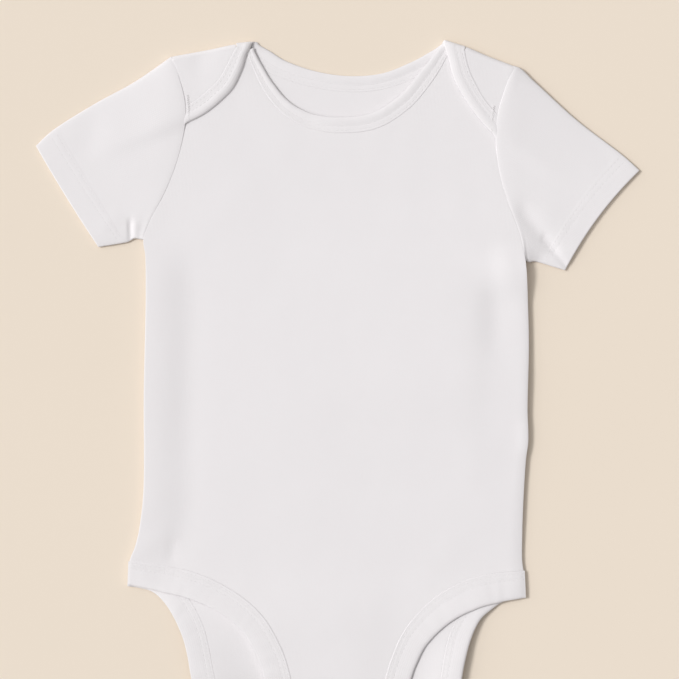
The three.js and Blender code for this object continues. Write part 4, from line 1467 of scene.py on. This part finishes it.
class Paint:
    # a material and what adds nodes to it
    def __init__(self, name):
        self.material = bpy.data.materials.new(name)
        self.material.use_nodes = True
        self.tree = self.material.node_tree
        self.tree.nodes.clear()
        self.shader = self.tree.nodes.new("ShaderNodeBsdfPrincipled")
        output = self.tree.nodes.new("ShaderNodeOutputMaterial")
        self.tree.links.new(self.shader.outputs[0], output.inputs["Surface"])

    def node(self, kind, settings=None, sockets=None, out=0):
        made = self.tree.nodes.new(kind)
        for key, value in (settings or {}).items():
            setattr(made, key, value)
        for key, value in (sockets or {}).items():
            if isinstance(value, Field):
                self.tree.links.new(value.link, made.inputs[key])
            else:
                made.inputs[key].default_value = value
        return Field(self, made.outputs[out])

    def math(self, operation, *values):
        return self.node("ShaderNodeMath", {"operation": operation}, dict(enumerate(values)))

    def mixed(self, low, high, share):
        sockets = {0: share, 6: low, 7: high}
        return self.node("ShaderNodeMix", {"data_type": "RGBA"}, sockets, out=2)

    def noise(self, vector, scale, detail=2):
        return self.node("ShaderNodeTexNoise", {}, {"Vector": vector, "Scale": scale, "Detail": detail})

    def bump(self, height, strength, distance):
        sockets = {"Strength": strength, "Distance": distance, "Height": height}
        self.link("Normal", self.node("ShaderNodeBump", {}, sockets))

    def place(self):
        return self.node("ShaderNodeTexCoord", out="Object")

    def lay(self):
        # a piece's flat cloth coordinates, or along and around a thread
        lay = self.node("ShaderNodeAttribute", {"attribute_name": "lay"}, out="Vector")
        return (self.node("ShaderNodeSeparateXYZ", {}, {0: lay}, out=i) for i in (0, 1))

    def link(self, socket, value):
        if isinstance(value, Field):
            self.tree.links.new(value.link, self.shader.inputs[socket])
        else:
            self.shader.inputs[socket].default_value = value


# each shade colour is a darker tone that knitPaint mixes in at random and also as painted shade in the
# grooves between the knit columns
cotton = {
    "color": (0.828, 0.803, 0.815, 1),
    "shade": (0.806, 0.781, 0.793, 1),
    "wale": 0.00085,  # metres across one column of knit
    "course": 0.0007,
    "knitDepth": 0.00005,
    "fuzz": 0.4,
    "roughness": 0.93,
    "sheen": 0.12,
}
rib = {
    "color": (0.83, 0.805, 0.817, 1),
    "shade": (0.808, 0.783, 0.795, 1),
    "wale": 0.0013,
    "course": 0.0008,
    "knitDepth": 0.00008,
    "fuzz": 0.35,
    "roughness": 0.92,
    "sheen": 0.12,
}
cottonThread = {
    "color": (0.85, 0.83, 0.835, 1),
    "shade": 0.94,
    "twist": (4000, 1000),
    "bump": (0.4, 0.00005),
    "roughness": 0.7,
}
snapPlastic = {"color": (0.83, 0.82, 0.8, 1), "shade": 0.96, "bump": (0.15, 0.00004), "roughness": 0.32}
noiseScale = {"fuzz": 2600, "fine": 900, "slow": 26, "thread": 320, "plastic": 700, "floor": 8}
# the last value says how much darker the grooves between the knit columns are painted: a painted shade
knit = {"loop": 0.38, "lean": 1.3, "bump": 0.55, "slow": 0.75, "ridge": 0.12}


def dimmed(color, share):
    return tuple(share * c for c in color[:3]) + (1,)


def knitPaint(name, look):
    # columns of small loops, a little fuzz between them and a slow random change of tone; the grooves
    # between the columns are painted darker, a painted shade
    paint = Paint(name)
    x, y = paint.lay()
    place = paint.place()
    column = paint.math("FRACT", x / look["wale"])
    lean = paint.math("ABSOLUTE", column - 0.5)
    loop = paint.math("SINE", (y / look["course"] + lean * knit["lean"]) * (2 * math.pi))
    ridge = 1 - (lean * 2) ** 2
    fuzz = paint.noise(place, noiseScale["fuzz"], 3)
    height = ridge * (1 - knit["loop"] + loop * knit["loop"]) + fuzz * look["fuzz"]
    paint.bump(height, knit["bump"], look["knitDepth"])
    slow = paint.noise(place, noiseScale["slow"], 3)
    fine = paint.noise(place, noiseScale["fine"])
    # the shade colour goes in by random noise and as painted shade in the grooves between the knit columns
    share = slow * knit["slow"] + fine * (1 - knit["slow"]) - ridge * knit["ridge"]
    paint.link("Base Color", paint.mixed(look["color"], look["shade"], share))
    paint.link("Roughness", look["roughness"] - 0.05 + fine * 0.1)
    paint.link("Sheen Weight", look["sheen"])
    paint.link("Sheen Roughness", 0.5)
    return paint.material


def threadPaint(name, look):
    paint = Paint(name)
    along, turn = paint.lay()
    twist = paint.math("SINE", (along * look["twist"][0] + turn * look["twist"][1]) * (2 * math.pi))
    paint.bump(twist, *look["bump"])
    tone = paint.noise(paint.place(), noiseScale["thread"])
    paint.link("Base Color", paint.mixed(look["color"], dimmed(look["color"], look["shade"]), tone))
    paint.link("Roughness", look["roughness"] + tone * 0.1)
    return paint.material


def plasticPaint(name, look):
    paint = Paint(name)
    grain = paint.noise(paint.place(), noiseScale["plastic"], 3)
    paint.bump(grain, *look["bump"])
    paint.link("Base Color", paint.mixed(look["color"], dimmed(look["color"], look["shade"]), grain))
    paint.link("Roughness", look["roughness"] + grain * 0.08)
    return paint.material


clothFinish = knitPaint("white_jersey", cotton)
bandFinish = knitPaint("white_rib", rib)
threadFinish = threadPaint("white_thread", cottonThread)
snapFinish = plasticPaint("snap_plastic", snapPlastic)
print("stage: materials")

# Each piece stands for its node and rides on the body
cuts = {
    "front_cloth": {"node": "front_panel", "flat": (0.247, 0.441), "area": 0.0765},
    "back_cloth": {"node": "back_panel", "flat": (0.247, 0.536), "area": 0.0898},
    "neck_binding_front": {"node": "front_neck_binding", "flat": (0.010, 0.182), "area": 0.00180},
    "neck_binding_back": {"node": "back_neck_binding", "flat": (0.010, 0.301), "area": 0.00300},
    "sleeve_left": {"node": "left_sleeve", "flat": (0.236, 0.080), "area": 0.0130},
    "sleeve_right": {"node": "right_sleeve", "flat": (0.236, 0.080), "area": 0.0130},
    "leg_band_front_left": {"node": "front_leg_band_left", "flat": (0.0166, 0.178), "area": 0.00280},
    "leg_band_front_right": {"node": "front_leg_band_right", "flat": (0.0180, 0.165), "area": 0.00269},
    "leg_band_back_left": {"node": "back_leg_band_left", "flat": (0.0155, 0.180), "area": 0.00277},
    "leg_band_back_right": {"node": "back_leg_band_right", "flat": (0.0155, 0.166), "area": 0.00247},
}
clothPieces = {
    "front_cloth": frontCloth,
    "back_cloth": backCloth,
    "neck_binding_front": frontBinding,
    "neck_binding_back": backBinding,
}
for side in sides:
    clothPieces["sleeve_" + side] = sleeves[side][0]
    clothPieces["leg_band_front_" + side] = frontLegBands[side][0]
    clothPieces["leg_band_back_" + side] = backLegBands[side][0]
for name, piece in clothPieces.items():
    banded = "band" in name or "binding" in name
    piece.data.materials.append(bandFinish if banded else clothFinish)
    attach(piece, "root")
    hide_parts(cuts[name]["node"])
    if name in stitches:
        row = stitches[name]
        row.data.materials.append(threadFinish)
        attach(row, "root")
for piece, node in snapPieces:
    piece.data.materials.append(snapFinish)
    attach(piece, "root")
    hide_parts(node)
print("stage: pieces placed")

# Floor, light and camera
studio = {
    "floorColor": (0.83, 0.731, 0.618, 1),
    "floorShade": 0.985,
    "floorHeight": -0.0003,
    "floorSize": 6,
    "key": {"energy": 1.75, "spread": 16, "from": (-1, 0.2, 1.0)},
    "soft": {"energy": 1.0, "spread": 70, "from": (-1, 0.2, 0.75)},
    "fill": (1.0, 0.985, 0.975),
    "fillStrength": 0.42,
}
view = {"centre": (0.0047, 0.0345), "across": 0.421, "height": 1.8, "turn": 2.2, "sensor": 36}


def makeFloor():
    half = studio["floorSize"] / 2
    mesh = bpy.data.meshes.new("floor")
    corners = [(-half, -half), (half, -half), (half, half), (-half, half)]
    mesh.from_pydata([(x, y, studio["floorHeight"]) for x, y in corners], [], [(0, 1, 2, 3)])
    floor = bpy.data.objects.new("floor", mesh)
    scene.collection.objects.link(floor)
    paint = Paint("floor_paint")
    tone = paint.noise(paint.place(), noiseScale["floor"])
    color = studio["floorColor"]
    paint.link("Base Color", paint.mixed(color, dimmed(color, studio["floorShade"]), tone))
    paint.link("Roughness", 0.9)
    mesh.materials.append(paint.material)


def makeLights():
    for name in ("key", "soft"):
        look = studio[name]
        sun = bpy.data.lights.new(name, "SUN")
        sun.energy = look["energy"]
        sun.angle = math.radians(look["spread"])
        lamp = bpy.data.objects.new(name, sun)
        lamp.rotation_euler = Vector(look["from"]).to_track_quat("Z", "Y").to_euler()
        scene.collection.objects.link(lamp)
    world = bpy.data.worlds.new("studio")
    world.use_nodes = True
    background = world.node_tree.nodes["Background"]
    background.inputs["Color"].default_value = (*studio["fill"], 1)
    background.inputs["Strength"].default_value = studio["fillStrength"]
    scene.world = world


def makeCamera():
    lens = bpy.data.cameras.new("camera")
    lens.sensor_width = view["sensor"]
    lens.lens = view["sensor"] * view["height"] / view["across"]
    camera = bpy.data.objects.new("camera", lens)
    camera.location = (*view["centre"], view["height"])
    camera.rotation_euler = (0, 0, math.radians(view["turn"]))
    scene.collection.objects.link(camera)
    scene.camera = camera


makeFloor()
makeLights()
makeCamera()
scene.view_settings.view_transform = "Standard"
print("stage: floor, light and camera")
